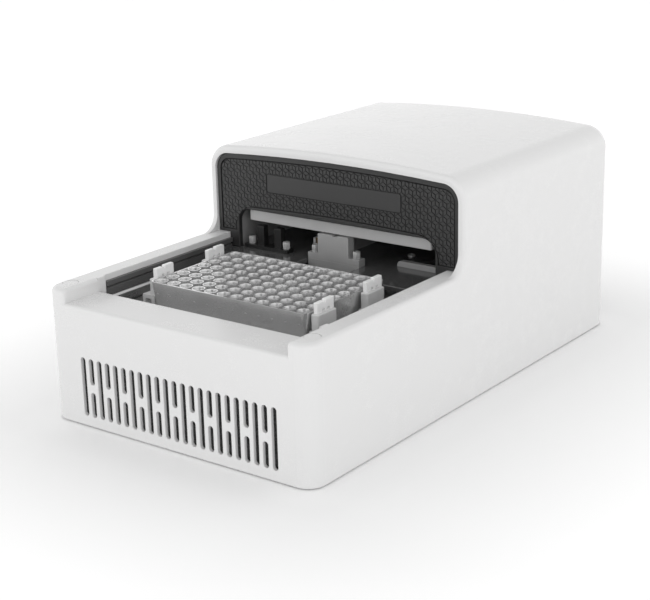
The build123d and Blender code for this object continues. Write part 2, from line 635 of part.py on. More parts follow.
for name, (side_x, side_y) in LIFTERS.items():
    cap_y = BLOCK_Y + side_y * LIFTER_Y + (RIGHT_SHIFT_Y if side_x > 0 else 0)
    post_y = cap_y + POST_SHIFT_Y
    with BuildPart() as post:
        with BuildSketch(Plane.XY.offset(TRAY_Z)) as post_shape:
            with Locations((side_x * (POST_X0 + POST_W / 2), post_y)):
                Rectangle(POST_W, POST_L)
            fillet(post_shape.vertices(), radius=POST_ROUND)
        extrude(amount=POST_TOP_Z - TRAY_Z)
        with BuildSketch(Plane.XY.offset(TRAY_Z)):
            with Locations((side_x * (POST_X0 + FOOT_X1) / 2, post_y)):
                Rectangle(FOOT_X1 - POST_X0, POST_L + 3)
        extrude(amount=FOOT_TOP_Z - TRAY_Z)
        fillet(post.faces().sort_by(Axis.Z)[-1].edges(), radius=0.7)
        # slot for the sprung cap's leg
        with BuildSketch(Plane.XY.offset(SPRING_SEAT_Z)):
            with Locations((side_x * cap_mid, cap_y)):
                Rectangle(slot_w, slot_l)
        extrude(amount=POST_TOP_Z - SPRING_SEAT_Z + 1, mode=Mode.SUBTRACT)
        # recess in the front of the foot
        with BuildSketch(Plane.XY.offset(TRAY_Z + 1.2)):
            with Locations((side_x * (FOOT_X1 - 4.2), post_y - POST_L / 2)):
                Rectangle(4.6, 4)
        extrude(amount=2.8, mode=Mode.SUBTRACT)
    save(post, "lifter_post_" + name)

    with BuildPart() as cap:
        with BuildSketch(Plane.XY.offset(CAP_LEG_Z)) as cap_shape:
            with Locations((side_x * cap_mid, cap_y)):
                Rectangle(CAP_W, CAP_L)
            fillet(cap_shape.vertices(), radius=0.4)
        extrude(amount=CAP_TOP_Z - CAP_LEG_Z)
        # shallow gap splits the top in two, and the front half is a little lower
        with BuildSketch(Plane.YZ.offset(side_x * cap_mid)):
            with Locations((cap_y - 0.6, CAP_TOP_Z)):
                Rectangle(1.6, 3.0)
            with Locations((cap_y - CAP_L / 4 - 0.5, CAP_TOP_Z)):
                Rectangle(CAP_L / 2, 1.0)
        extrude(amount=CAP_W, both=True, mode=Mode.SUBTRACT)
        top_edges = cap.edges().filter_by(Axis.X).filter_by(lambda e: e.center().Z > CAP_TOP_Z - 0.6)
        fillet(top_edges, radius=0.45)
        # two small windows just above the post
        with BuildSketch(Plane.YZ.offset(side_x * cap_mid)):
            with Locations((cap_y - 2.0, POST_TOP_Z + 0.95), (cap_y + 2.2, POST_TOP_Z + 0.95)):
                Rectangle(2.2, 1.7)
        extrude(amount=CAP_W, both=True, mode=Mode.SUBTRACT)
    save(cap, "lifter_cap_" + name)

    with BuildPart() as spring:
        with BuildLine():
            coil = Helix(
                pitch=spring_h / 5, height=spring_h, radius=1.0, center=(side_x * cap_mid, cap_y, spring_foot)
            )
        with BuildSketch(Plane(origin=coil @ 0, z_dir=coil % 0)):
            Circle(SPRING_WIRE_R)
        sweep(path=coil, is_frenet=True)
    save(spring, "lifter_spring_" + name)

# ================================================================ deck and what stands on it

with BuildPart() as deck_plate:
    with BuildSketch(Plane.XY.offset(DECK_Z - DECK_T)) as deck_shape:
        with Locations((0, (DECK_FRONT_Y + DECK_REAR_Y) / 2)):
            Rectangle(2 * DECK_HALF_W, DECK_REAR_Y - DECK_FRONT_Y)
        fillet(deck_shape.vertices(), radius=2)
        with Locations((DOCK_X, (DECK_FRONT_Y - 1 + DOCK_Y0 + DOCK_T + GAP) / 2)):
            Rectangle(2 * DOCK_HALF_W + 1, DOCK_Y0 + DOCK_T + GAP - DECK_FRONT_Y + 1, mode=Mode.SUBTRACT)
    extrude(amount=DECK_T)
    chamfer(deck_plate.faces().sort_by(Axis.Z)[-1].outer_wire().edges(), length=0.4)
    with BuildSketch(Plane.XY.offset(DECK_Z - DECK_T)):
        with Locations(*[(x, (SENSOR_Y0 + SENSOR_Y1) / 2) for x in SENSOR_SCREW_X], LEDGE_SCREW):
            Circle(SCREW_SHANK_R + 0.05)
    extrude(amount=DECK_T, mode=Mode.SUBTRACT)
save(deck_plate, "deck_plate")

with BuildPart() as deck_standoffs:
    with BuildSketch(Plane.XY.offset(BASE_Z)):
        with Locations((0, 51)):
            with GridLocations(2 * 70.5, 78, 2, 3):
                Circle(3.5)
    extrude(amount=DECK_Z - DECK_T - BASE_Z)
save(deck_standoffs, "deck_standoffs")

with BuildPart() as deck_ledge:
    with BuildSketch(Plane.XZ.offset(-1)) as ledge_shape:
        with Locations(((LEDGE_X0 + 71.0) / 2, DECK_Z + 1.65)):
            Rectangle(71.0 - LEDGE_X0, 3.3)
        fillet(ledge_shape.vertices().sort_by(Axis.X)[:2].sort_by(Axis.Y)[-1], radius=2.5)
    extrude(amount=-3.5)
save(deck_ledge, "deck_ledge")

with BuildPart() as sensor_bracket:
    sensor_mid_y = (SENSOR_Y0 + SENSOR_Y1) / 2
    with BuildSketch(Plane.XY.offset(DECK_Z)) as sensor_foot:
        with Locations(((SENSOR_X0 + SENSOR_X1) / 2, sensor_mid_y)):
            Rectangle(SENSOR_X1 - SENSOR_X0, SENSOR_Y1 - SENSOR_Y0)
        fillet(sensor_foot.vertices(), radius=1)
    extrude(amount=2.2)
    with BuildSketch(Plane.XY.offset(DECK_Z + 2.2)):
        with Locations(*[(x, sensor_mid_y) for x in SENSOR_POST_X]):
            Rectangle(5.2, 4.2)
    extrude(amount=SENSOR_POST_Z - DECK_Z - 2.2)
    chamfer(sensor_bracket.faces().sort_by(Axis.Z)[-2:].edges(), length=0.5)
    with Locations(*[(x, sensor_mid_y, DECK_Z + 2.2) for x in SENSOR_SCREW_X]):
        Hole(SCREW_SHANK_R + 0.05, depth=2.2)
save(sensor_bracket, "sensor_bracket")

with BuildPart() as dock_bracket:
    with BuildSketch(Plane.XZ.offset(-DOCK_Y0)) as dock_shape:
        with Locations((DOCK_X, (DECK_Z + 0.3 + DOCK_SHOULDER_Z) / 2)):
            Rectangle(2 * DOCK_HALF_W, DOCK_SHOULDER_Z - DECK_Z - 0.3)
        with Locations((DOCK_X, (DOCK_SHOULDER_Z + TONGUE_TOP_Z) / 2 - 0.5)):
            Rectangle(2 * TONGUE_HALF_W, TONGUE_TOP_Z - DOCK_SHOULDER_Z + 1)
        fillet(dock_shape.vertices().group_by(Axis.Y)[-1], radius=1.0)
        with Locations((DOCK_X + 1.4, TONGUE_TOP_Z)):
            Rectangle(4.2, 1.4, mode=Mode.SUBTRACT)
    extrude(amount=-DOCK_T)
    with Locations(
        (DOCK_X - DOCK_SCREW_DX, DOCK_Y0 + DOCK_T / 2, DOCK_SHOULDER_Z),
        (DOCK_X + DOCK_SCREW_DX, DOCK_Y0 + DOCK_T / 2, DOCK_SHOULDER_Z),
    ):
        Hole(SCREW_SHANK_R + 0.05, depth=DOCK_SHOULDER_Z - DECK_Z)
save(dock_bracket, "dock_bracket")

with BuildPart() as dock_block:
    with BuildSketch(Plane.XY.offset(BASE_Z)):
        with Locations((DOCK_X, DOCK_Y0 + DOCK_T / 2)):
            Rectangle(2 * DOCK_HALF_W, DOCK_T)
    extrude(amount=DECK_Z + 0.2 - BASE_Z)
    with Locations(
        (DOCK_X - DOCK_SCREW_DX, DOCK_Y0 + DOCK_T / 2, DECK_Z + 0.2),
        (DOCK_X + DOCK_SCREW_DX, DOCK_Y0 + DOCK_T / 2, DECK_Z + 0.2),
    ):
        Hole(SCREW_SHANK_R + 0.05, depth=4)
save(dock_block, "dock_block")

with BuildPart() as deck_screws:
    seats = [(x, sensor_mid_y, DECK_Z + 2.2) for x in SENSOR_SCREW_X]
    seats += [(DOCK_X + s * DOCK_SCREW_DX, DOCK_Y0 + DOCK_T / 2, DOCK_SHOULDER_Z) for s in (-1, 1)]
    for seat_x, seat_y, seat_z in seats:
        with BuildSketch(Plane.XY.offset(seat_z)):
            with Locations((seat_x, seat_y)):
                Rectangle(SCREW_HEAD_W, SCREW_HEAD_W)
        extrude(amount=SCREW_HEAD_H)
        with BuildSketch(Plane.XY.offset(seat_z - 5)):
            with Locations((seat_x, seat_y)):
                Circle(SCREW_SHANK_R)
        extrude(amount=5)
    heads = deck_screws.edges().filter_by(lambda e: e.length > 4)
    chamfer(heads.filter_by(Axis.Z), length=0.5)
    with BuildSketch(Plane.XY.offset(DECK_Z - 2.5)):
        with Locations(LEDGE_SCREW):
            Circle(SCREW_SHANK_R)
    extrude(amount=2.5)
    with BuildSketch(Plane.XY.offset(DECK_Z)):
        with Locations(LEDGE_SCREW):
            Circle(2.4)
    extrude(amount=1.2)
save(deck_screws, "deck_screws")

with BuildPart() as side_plates:
    with BuildSketch(Plane.YZ.offset(SIDE_X0)) as side_shape:
        with Locations(((FASCIA_Y + FASCIA_T + 0.2 + DECK_REAR_Y) / 2, (DECK_Z + TUNNEL_Z) / 2)):
            Rectangle(DECK_REAR_Y - FASCIA_Y - FASCIA_T - 0.2, TUNNEL_Z - DECK_Z)
    extrude(amount=SIDE_T)
    mirror(about=Plane.YZ)
save(side_plates, "side_plates")

with BuildPart() as tunnel_liner:
    with BuildSketch(Plane.YZ) as tunnel_shape:
        with BuildLine():
            Polyline(
                (FASCIA_Y + FASCIA_T + 0.2, TUNNEL_Z),
                (DECK_REAR_Y + 0.1, TUNNEL_Z),
                (DECK_REAR_Y + 0.1, TROUGH_TOP_Z + 1.2),
                (DECK_REAR_Y + 1.6, TROUGH_TOP_Z + 1.2),
                (DECK_REAR_Y + 1.6, TUNNEL_Z + 1.5),
                (FASCIA_Y + FASCIA_T + 0.2, TUNNEL_Z + 1.5),
                (FASCIA_Y + FASCIA_T + 0.2, TUNNEL_Z),
            )
        make_face()
    extrude(amount=SIDE_X0 + SIDE_T, both=True)
save(tunnel_liner, "tunnel_liner")

# ================================================================ lid
with BuildPart() as lid_rails:
    with BuildSketch(Plane.XZ.offset(-RAIL_Y0)):
        with Locations(((RUNNER_HALF_W + SIDE_X0) / 2 - 1.2, RUNNER_Z0 + RUNNER_T / 2)):
            Rectangle(SIDE_X0 - RUNNER_HALF_W + 2.3, 6)
        with Locations((RUNNER_HALF_W - 5 + 0.1, RUNNER_Z0 + RUNNER_T / 2)):
            Rectangle(10, RUNNER_T + 2 * RUN_CLEAR, mode=Mode.SUBTRACT)
    extrude(amount=-(RAIL_Y1 - RAIL_Y0))
    mirror(about=Plane.YZ)
save(lid_rails, "lid_rails")

with BuildPart() as lid_carriage:
    with BuildSketch(Plane.XY.offset(LID_BOTTOM_Z)) as lid_shape:
        with Locations((0, (LID_FRONT_Y + LID_REAR_Y) / 2)):
            Rectangle(2 * LID_HALF_W, LID_REAR_Y - LID_FRONT_Y)
        fillet(lid_shape.vertices(), radius=1)
    extrude(amount=LID_TOP_Z - LID_BOTTOM_Z)
    lid_top_edges = lid_carriage.edges().group_by(Axis.Z)[-1]
    fillet(lid_top_edges, radius=0.7)
    # pocket for the platen, open below
    with BuildSketch(Plane.XY.offset(LID_BOTTOM_Z)):
        with Locations((0, PLATEN_Y)):
            Rectangle(2 * PLATEN_HALF_X + 1.2, 2 * PLATEN_HALF_Y + 1.2)
    extrude(amount=PLATEN_Z0 + PLATEN_T + 0.2 - LID_BOTTOM_Z, mode=Mode.SUBTRACT)
    # runners on both sides
    with BuildSketch(Plane.XY.offset(RUNNER_Z0)):
        with Locations((-(LID_HALF_W + RUNNER_HALF_W) / 2, 73), ((LID_HALF_W + RUNNER_HALF_W) / 2, 73)):
            Rectangle(RUNNER_HALF_W - LID_HALF_W, 2 * (LID_REAR_Y - 73))
    extrude(amount=RUNNER_T)
save(lid_carriage, "lid_carriage")

with BuildPart() as platen_pins:
    with BuildSketch(Plane.XY.offset(PIN_BOTTOM_Z)):
        with Locations((0, PLATEN_Y)):
            with GridLocations(2 * PIN_X, 2 * PIN_Y, 2, 2):
                Circle(PIN_R)
    extrude(amount=PLATEN_Z0 + PLATEN_T + 0.2 - PIN_BOTTOM_Z)
    chamfer(platen_pins.edges().group_by(Axis.Z)[0], length=0.4)
save(platen_pins, "platen_pins")

with BuildPart() as heated_platen:
    with BuildSketch(Plane.XY.offset(PLATEN_Z0)) as platen_shape:
        with Locations((0, PLATEN_Y)):
            Rectangle(2 * PLATEN_HALF_X, 2 * PLATEN_HALF_Y)
        fillet(platen_shape.vertices(), radius=2)
        with Locations((0, PLATEN_Y)):
            with GridLocations(2 * PIN_X, 2 * PIN_Y, 2, 2):
                Circle(PIN_R + RUN_CLEAR, mode=Mode.SUBTRACT)
    extrude(amount=PLATEN_T)
    chamfer(heated_platen.faces().sort_by(Axis.Z)[0].outer_wire().edges(), length=0.6)
save(heated_platen, "heated_platen")

# ================================================================ lid drive
trough_mid_y = (TROUGH_Y0 + DECK_REAR_Y) / 2
with BuildPart() as drive_trough:
    with BuildSketch(Plane.XZ.offset(-TROUGH_Y0)):
        with Locations((SCREW_X, (DECK_Z + TROUGH_TOP_Z) / 2)):
            Rectangle(TROUGH_W, TROUGH_TOP_Z - DECK_Z)
        with Locations((SCREW_X, (DECK_Z + 0.8 + TROUGH_TOP_Z + 1) / 2)):
            Rectangle(TROUGH_W - 3, TROUGH_TOP_Z - DECK_Z - 0.8 + 1, mode=Mode.SUBTRACT)
    extrude(amount=-(DECK_REAR_Y - TROUGH_Y0))
save(drive_trough, "drive_trough")

with BuildPart() as screw_bearings:
    for bearing_y in (TROUGH_Y0 + 1, DECK_REAR_Y - 1 - BEARING_L):
        with BuildSketch(Plane.XZ.offset(-bearing_y)):
            with Locations((SCREW_X, (DECK_Z + 0.8 + TROUGH_TOP_Z) / 2)):
                Rectangle(TROUGH_W - 3, TROUGH_TOP_Z - DECK_Z - 0.8)
            with Locations((SCREW_X, SCREW_Z)):
                Circle(SCREW_R + RUN_CLEAR, mode=Mode.SUBTRACT)
        extrude(amount=-BEARING_L)
save(screw_bearings, "screw_bearings")

with BuildPart() as lead_screw:
    with BuildSketch(Plane.XZ.offset(-(TROUGH_Y0 + 2))):
        with Locations((SCREW_X, SCREW_Z)):
            Circle(SCREW_R)
    extrude(amount=-(PULLEY_Y0 + PULLEY_L - TROUGH_Y0 - 2))
save(lead_screw, "lead_screw")

with BuildPart() as drive_nut:
    with BuildSketch(Plane.XZ.offset(-(NUT_Y - NUT_L / 2))):
        with Locations((SCREW_X, SCREW_Z)):
            Rectangle(TROUGH_W - 4, 6.2)
            Circle(SCREW_R + RUN_CLEAR, mode=Mode.SUBTRACT)
    extrude(amount=-NUT_L)
    with BuildSketch(Plane.XY.offset(SCREW_Z + 3.1)):
        with Locations((SCREW_X, NUT_Y)):
            Rectangle(8, 10)
    extrude(amount=LID_BOTTOM_Z - SCREW_Z - 3.1)
save(drive_nut, "drive_nut")


def pulley(centre_z):
    """Flanged belt pulley in the belt's plane, turning about a line along Y."""
    with BuildPart() as wheel:
        with BuildSketch(Plane.XZ.offset(-PULLEY_Y0)):
            with Locations((SCREW_X, centre_z)):
                Circle(PULLEY_R)
        extrude(amount=-PULLEY_L)
        for flange_y in (PULLEY_Y0, PULLEY_Y0 + PULLEY_L - 0.5):
            with BuildSketch(Plane.XZ.offset(-flange_y)):
                with Locations((SCREW_X, centre_z)):
                    Circle(PULLEY_R + 1.6)
            extrude(amount=-0.5)
    return wheel


with BuildPart() as screw_pulley:
    add(pulley(SCREW_Z).part)
    with BuildSketch(Plane.XZ.offset(-PULLEY_Y0)):
        with Locations((SCREW_X, SCREW_Z)):
            Circle(SCREW_R)
    extrude(amount=-PULLEY_L, mode=Mode.SUBTRACT)
save(screw_pulley, "screw_pulley")

with BuildPart() as motor_pulley:
    add(pulley(MOTOR_Z).part)
    # motor's shaft, one piece with its pulley
    with BuildSketch(Plane.XZ.offset(-(MOTOR_FACE_Y + 0.1))):
        with Locations((SCREW_X, MOTOR_Z)):
            Circle(2.5)
    extrude(amount=-(PULLEY_Y0 - MOTOR_FACE_Y - 0.1))
save(motor_pulley, "motor_pulley")

with BuildPart() as drive_belt:
    with BuildSketch(Plane.XZ.offset(-(PULLEY_Y0 + (PULLEY_L - BELT_W) / 2))):
        with Locations((SCREW_X, (SCREW_Z + MOTOR_Z) / 2)):
            SlotCenterToCenter(SCREW_Z - MOTOR_Z, 2 * (PULLEY_R + RUN_CLEAR + BELT_T), rotation=90)
            SlotCenterToCenter(SCREW_Z - MOTOR_Z, 2 * (PULLEY_R + RUN_CLEAR), rotation=90, mode=Mode.SUBTRACT)
    extrude(amount=-BELT_W)
save(drive_belt, "drive_belt")

with BuildPart() as drive_motor:
    with BuildSketch(Plane.XZ.offset(-(MOTOR_FACE_Y - MOTOR_L))) as motor_shape:
        with Locations((SCREW_X, MOTOR_Z)):
            Rectangle(MOTOR_SIZE, MOTOR_SIZE)
        chamfer(motor_shape.vertices(), length=3)
    extrude(amount=-MOTOR_L)
save(drive_motor, "drive_motor")

with BuildPart() as motor_bracket:
    with BuildSketch(Plane.XZ.offset(-MOTOR_FACE_Y)):
        with Locations((SCREW_X, (MOTOR_Z - 14 + DECK_Z - DECK_T) / 2)):
            Rectangle(MOTOR_SIZE, DECK_Z - DECK_T - MOTOR_Z + 14)
        with Locations((SCREW_X, MOTOR_Z)):
            Circle(6, mode=Mode.SUBTRACT)
    extrude(amount=-1.5)
    with BuildSketch(Plane.XY.offset(DECK_Z - DECK_T - 1.5)):
        with Locations((SCREW_X, MOTOR_FACE_Y - 8)):
            Rectangle(MOTOR_SIZE, 16 + 0.02)
    extrude(amount=1.5)
save(motor_bracket, "motor_bracket")

# ================================================================ fans
def fan_frame(centre_x, centre_z, size, y0, thick, hub_r):
    """Square fan frame with a round throat, and the hub that carries the rotor on four struts."""
    with BuildPart() as frame:
        with BuildSketch(Plane.XZ.offset(-y0)) as frame_shape:
            with Locations((centre_x, centre_z)):
                Rectangle(size, size)
            fillet(frame_shape.vertices(), radius=3)
            with Locations((centre_x, centre_z)):
                Circle(size / 2 - 1.5, mode=Mode.SUBTRACT)
                with GridLocations(size - 7, size - 7, 2, 2):
                    Circle(1.6, mode=Mode.SUBTRACT)
        extrude(amount=-thick)
        with BuildSketch(Plane.XZ.offset(-y0)):
            with Locations((centre_x, centre_z)):
                Circle(hub_r)
                Rectangle(size - 1.5, 2.4)
                Rectangle(2.4, size - 1.5)
                Circle(1.5 + RUN_CLEAR, mode=Mode.SUBTRACT)
        extrude(amount=-1.8)
    return frame


def fan_rotor(centre_x, centre_z, size, y0, thick, hub_r):
    """Rotor with a hub, a short shaft and seven pitched blades, turning about a line along Y."""
    with BuildPart() as rotor:
        with BuildSketch(Plane.XZ.offset(-(y0 + 2.2))):
            with Locations((centre_x, centre_z)):
                Circle(hub_r)
        extrude(amount=-(thick - 3.2))
        with BuildSketch(Plane.XZ.offset(-(y0 + 0.2))):
            with Locations((centre_x, centre_z)):
                Circle(1.5)
        extrude(amount=-2.2)
        middle_y = y0 + 2.2 + (thick - 3.2) / 2
        for blade in range(7):
            turn = math.radians(blade * 360 / 7)
            out = Vector(math.cos(turn), 0, math.sin(turn))
            root = Vector(centre_x, middle_y, centre_z) + out * (hub_r - 0.8)
            with BuildSketch(Plane(origin=root, x_dir=(0, 1, 0), z_dir=out)):
                Rectangle((thick - 3.6) * 1.15, 1.0, rotation=38)
            extrude(amount=size / 2 - 2.6 - hub_r + 0.8)
    return rotor


with BuildPart() as intake_fan_frames:
    for fan_x in (-INTAKE_X, INTAKE_X):
        add(fan_frame(fan_x, INTAKE_Z, INTAKE_SIZE, INTAKE_Y0, INTAKE_T, 8).part)
save(intake_fan_frames, "intake_fan_frames")
for name, fan_x in {"left": -INTAKE_X, "right": INTAKE_X}.items():
    save(fan_rotor(fan_x, INTAKE_Z, INTAKE_SIZE, INTAKE_Y0, INTAKE_T, 8), "intake_fan_rotor_" + name)
EXHAUST_Y0 = REAR_INNER_Y - REAR_SHEET_T - EXHAUST_T
save(fan_frame(EXHAUST_X, EXHAUST_Z, EXHAUST_SIZE, EXHAUST_Y0, EXHAUST_T, 10), "exhaust_fan_frame")
save(fan_rotor(EXHAUST_X, EXHAUST_Z, EXHAUST_SIZE, EXHAUST_Y0, EXHAUST_T, 10), "exhaust_fan_rotor")

with BuildPart() as fan_guard:
    with BuildSketch(Plane.XZ.offset(-(REAR_INNER_Y + 0.05))):
        with Locations((EXHAUST_X, EXHAUST_Z)):
            for ring_r in (8, 13.5, 19, 24):
                Circle(ring_r)
                Circle(ring_r - 1.3, mode=Mode.SUBTRACT)
            Rectangle(1.5, 47)
            Rectangle(47, 1.5)
    extrude(amount=-1.3)
save(fan_guard, "fan_guard")

# ================================================================ rear panel

with BuildPart() as rear_panel:
    with BuildSketch(Plane.XZ.offset(-(REAR_INNER_Y - REAR_SHEET_T))) as sheet:
        with Locations((0, (PANEL_Z0 + PANEL_Z1) / 2)):
            Rectangle(2 * PANEL_HALF_W, PANEL_Z1 - PANEL_Z0)
        fillet(sheet.vertices(), radius=2)
        with Locations((INLET_X, (MODULE_Z0 + MODULE_Z1) / 2)):
            Rectangle(MODULE_W + 2 * GAP, MODULE_Z1 - MODULE_Z0 + 2 * GAP, mode=Mode.SUBTRACT)
        with Locations((PORT_X, NET_Z)):
            Rectangle(PORT_W + 2 * GAP, NET_H + 2 * GAP, mode=Mode.SUBTRACT)
        with Locations((PORT_X, USB_Z)):
            Rectangle(USB_W + 2 * GAP, USB_H + 2 * GAP, mode=Mode.SUBTRACT)
        with Locations((EXHAUST_X, EXHAUST_Z)):
            Circle(EXHAUST_SIZE / 2 - 2, mode=Mode.SUBTRACT)
        with Locations(*REAR_SCREWS):
            Circle(1.6, mode=Mode.SUBTRACT)
    extrude(amount=-REAR_SHEET_T)
save(rear_panel, "rear_panel")

with BuildPart() as rear_screws:
    with BuildSketch(Plane.XZ.offset(-REAR_INNER_Y)):
        with Locations(*REAR_SCREWS):
            Circle(2.3)
    extrude(amount=-1.8)
    fillet(rear_screws.edges().group_by(Axis.Y)[-1], radius=0.9)
    with BuildSketch(Plane.XZ.offset(-(REAR_INNER_Y - 6))):
        with Locations(*REAR_SCREWS):
            Circle(1.5)
    extrude(amount=-6)
save(rear_screws, "rear_screws")

with BuildPart() as power_module:
    # deep half behind the inlet, shallow half behind the switch
    split_z = INLET_Z + SOCKET_H / 2 + 4
    with BuildSketch(Plane.XZ.offset(-SOCKET_Y0)):
        with Locations((INLET_X, (MODULE_Z0 + split_z) / 2)):
            Rectangle(MODULE_W, split_z - MODULE_Z0)
    extrude(amount=-(REAR_INNER_Y - SOCKET_Y0))
    with BuildSketch(Plane.XZ.offset(-(REAR_INNER_Y - 13))):
        with Locations((INLET_X, (MODULE_Z0 + MODULE_Z1) / 2)):
            Rectangle(MODULE_W, MODULE_Z1 - MODULE_Z0)
    extrude(amount=-13)
    with BuildSketch(Plane.XZ.offset(-REAR_INNER_Y)) as bezel:
        with Locations((INLET_X, (MODULE_Z0 + MODULE_Z1) / 2)):
            Rectangle(MODULE_W + 2 * MODULE_BEZEL, MODULE_Z1 - MODULE_Z0 + 2 * MODULE_BEZEL)
        fillet(bezel.vertices(), radius=1.5)
    extrude(amount=-(SOCKET_Y1 - REAR_INNER_Y))
    # inlet cavity with three contact blades
    with BuildSketch(Plane.XZ.offset(-(SOCKET_Y0 + 8))) as inlet_cavity:
        with Locations((INLET_X, INLET_Z)):
            Rectangle(SOCKET_W, SOCKET_H)
        chamfer(inlet_cavity.vertices().group_by(Axis.Y)[-1], length=3.5)
    extrude(amount=-(SOCKET_Y1 - SOCKET_Y0), mode=Mode.SUBTRACT)
    with BuildSketch(Plane.XZ.offset(-(SOCKET_Y0 + 8))):
        with Locations((INLET_X - 7, INLET_Z - 1.5), (INLET_X, INLET_Z + 2.5), (INLET_X + 7, INLET_Z - 1.5)):
            Rectangle(2, 4)
    extrude(amount=-13)
    # well and pivot holes of the rocker
    with BuildSketch(Plane.XZ.offset(-(REAR_INNER_Y - 11))):
        with Locations((INLET_X, SWITCH_Z)):
            Rectangle(SWITCH_W - 2.8, SWITCH_H - 2.8)
    extrude(amount=-14, mode=Mode.SUBTRACT)
    with BuildSketch(Plane.YZ.offset(INLET_X)):
        with Locations((ROCKER_PIVOT_Y, SWITCH_Z)):
            Circle(1.0 + RUN_CLEAR)
    extrude(amount=SWITCH_W / 2 - 0.5, both=True, mode=Mode.SUBTRACT)
save(power_module, "power_module")

tilt = math.radians(ROCKER_TILT)
rocker_plane = Plane(
    (INLET_X, ROCKER_PIVOT_Y, SWITCH_Z), x_dir=(0, math.cos(tilt), -math.sin(tilt)), z_dir=(1, 0, 0)
)
with BuildPart() as power_rocker:
    with BuildSketch(rocker_plane):
        Circle(ROCKER_R)
        with BuildLine():
            Polyline((-7, -8.2), (3.4, -8.2), (1.8, 0), (3.4, 8.2), (-7, 8.2), (-7, -8.2))
        make_face(mode=Mode.INTERSECT)
    extrude(amount=SWITCH_W / 2 - 1.7, both=True)
    with BuildSketch(rocker_plane):
        Circle(1.0)
    extrude(amount=SWITCH_W / 2 - 0.7, both=True)
save(power_rocker, "power_rocker")

with BuildPart() as data_ports:
    with BuildSketch(Plane.XZ.offset(-PORT_Y0)):
        with Locations((PORT_X, NET_Z)):
            Rectangle(PORT_W, NET_H)
        with Locations((PORT_X, USB_Z)):
            Rectangle(USB_W, USB_H)
    extrude(amount=-(PORT_Y1 - PORT_Y0))
    with BuildSketch(Plane.XZ.offset(-(PORT_Y0 + 1.5))):
        with Locations((PORT_X, NET_Z)):
            Rectangle(PORT_W - 3, NET_H - 4)
        with Locations((PORT_X, USB_Z)):
            Rectangle(USB_W - 2, USB_H - 2)
    extrude(amount=-(PORT_Y1 - PORT_Y0), mode=Mode.SUBTRACT)
save(data_ports, "data_ports")

# ================================================================ electronics
with BuildPart() as power_supply:
    with BuildSketch(Plane.XY.offset(BASE_Z)):
        with Locations(PSU_CENTRE):
            Rectangle(PSU_SIZE[0], PSU_SIZE[1])
    extrude(amount=PSU_SIZE[2])
    chamfer(power_supply.edges().filter_by(Axis.Y), length=1)
    with BuildSketch(Plane.XY.offset(BASE_Z + PSU_SIZE[2])):
        with Locations(PSU_CENTRE):
            with GridLocations(6, 8, 6, 9):
                SlotOverall(5, 2, rotation=90)
    extrude(amount=-1.5, mode=Mode.SUBTRACT)
save(power_supply, "power_supply")

with BuildPart() as control_board:
    with BuildSketch(Plane.XY.offset(BOARD_Z)) as board_shape:
        with Locations(BOARD_CENTRE):
            Rectangle(*BOARD_SIZE)
        fillet(board_shape.vertices(), radius=2)
    extrude(amount=BOARD_T)
    # spacers under the corners
    with BuildSketch(Plane.XY.offset(BASE_Z)):
        with Locations(BOARD_CENTRE):
            with GridLocations(BOARD_SIZE[0] - 8, BOARD_SIZE[1] - 8, 2, 2):
                Circle(2.5)
    extrude(amount=BOARD_Z - BASE_Z)
    # what is soldered on it
    for x, y, w, d, h in BOARD_BLOCKS:
        with BuildSketch(Plane.XY.offset(BOARD_Z + BOARD_T)):
            with Locations((x, y)):
                Rectangle(w, d)
        extrude(amount=h)
    with BuildSketch(Plane.XY.offset(BOARD_Z + BOARD_T)):
        with Locations((33, 50)):
            with GridLocations(9, 9, 2, 2):
                Circle(3.4)
    extrude(amount=12)
save(control_board, "control_board")
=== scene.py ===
import math

import bmesh
import bpy
from mathutils import Matrix, Vector


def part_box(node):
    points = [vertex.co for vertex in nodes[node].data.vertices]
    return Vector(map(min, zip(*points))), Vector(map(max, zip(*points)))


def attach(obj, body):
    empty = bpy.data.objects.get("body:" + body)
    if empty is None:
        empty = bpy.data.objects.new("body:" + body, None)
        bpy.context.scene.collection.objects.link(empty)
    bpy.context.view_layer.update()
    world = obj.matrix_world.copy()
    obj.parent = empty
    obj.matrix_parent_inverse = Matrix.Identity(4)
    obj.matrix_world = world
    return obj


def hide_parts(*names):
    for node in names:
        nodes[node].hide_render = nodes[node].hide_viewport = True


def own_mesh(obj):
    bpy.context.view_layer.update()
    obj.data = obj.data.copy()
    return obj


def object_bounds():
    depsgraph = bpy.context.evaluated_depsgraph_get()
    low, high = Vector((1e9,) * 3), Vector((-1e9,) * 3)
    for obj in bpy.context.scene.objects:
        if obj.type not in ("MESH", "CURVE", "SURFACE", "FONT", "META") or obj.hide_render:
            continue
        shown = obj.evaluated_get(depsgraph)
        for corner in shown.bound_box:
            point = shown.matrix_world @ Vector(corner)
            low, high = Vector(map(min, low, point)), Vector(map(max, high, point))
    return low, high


# The looks of a robot-deck thermal cycler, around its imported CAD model. Lengths are in metres,
# and MM turns the object's small sizes, given in millimetres, into them.

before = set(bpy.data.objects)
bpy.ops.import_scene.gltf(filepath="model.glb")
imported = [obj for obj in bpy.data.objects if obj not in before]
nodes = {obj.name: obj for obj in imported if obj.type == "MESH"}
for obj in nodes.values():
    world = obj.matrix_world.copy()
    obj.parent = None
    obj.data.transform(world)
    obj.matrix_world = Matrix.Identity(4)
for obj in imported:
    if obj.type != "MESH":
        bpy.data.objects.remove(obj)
cad_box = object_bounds()
MM = 0.001

# ---------------------------------------------------------------- camera
CAMERA_AT = Vector((0.50407, -0.69035, 0.31566))
CAMERA_AZIMUTH = math.radians(37.118)
CAMERA_ELEVATION = math.radians(17.748)
CAMERA_ROLL = math.radians(-1.415)
SENSOR_WIDTH = 36.0
FOCAL_PIXELS = 1500.26
IMAGE_WIDTH = 650.0


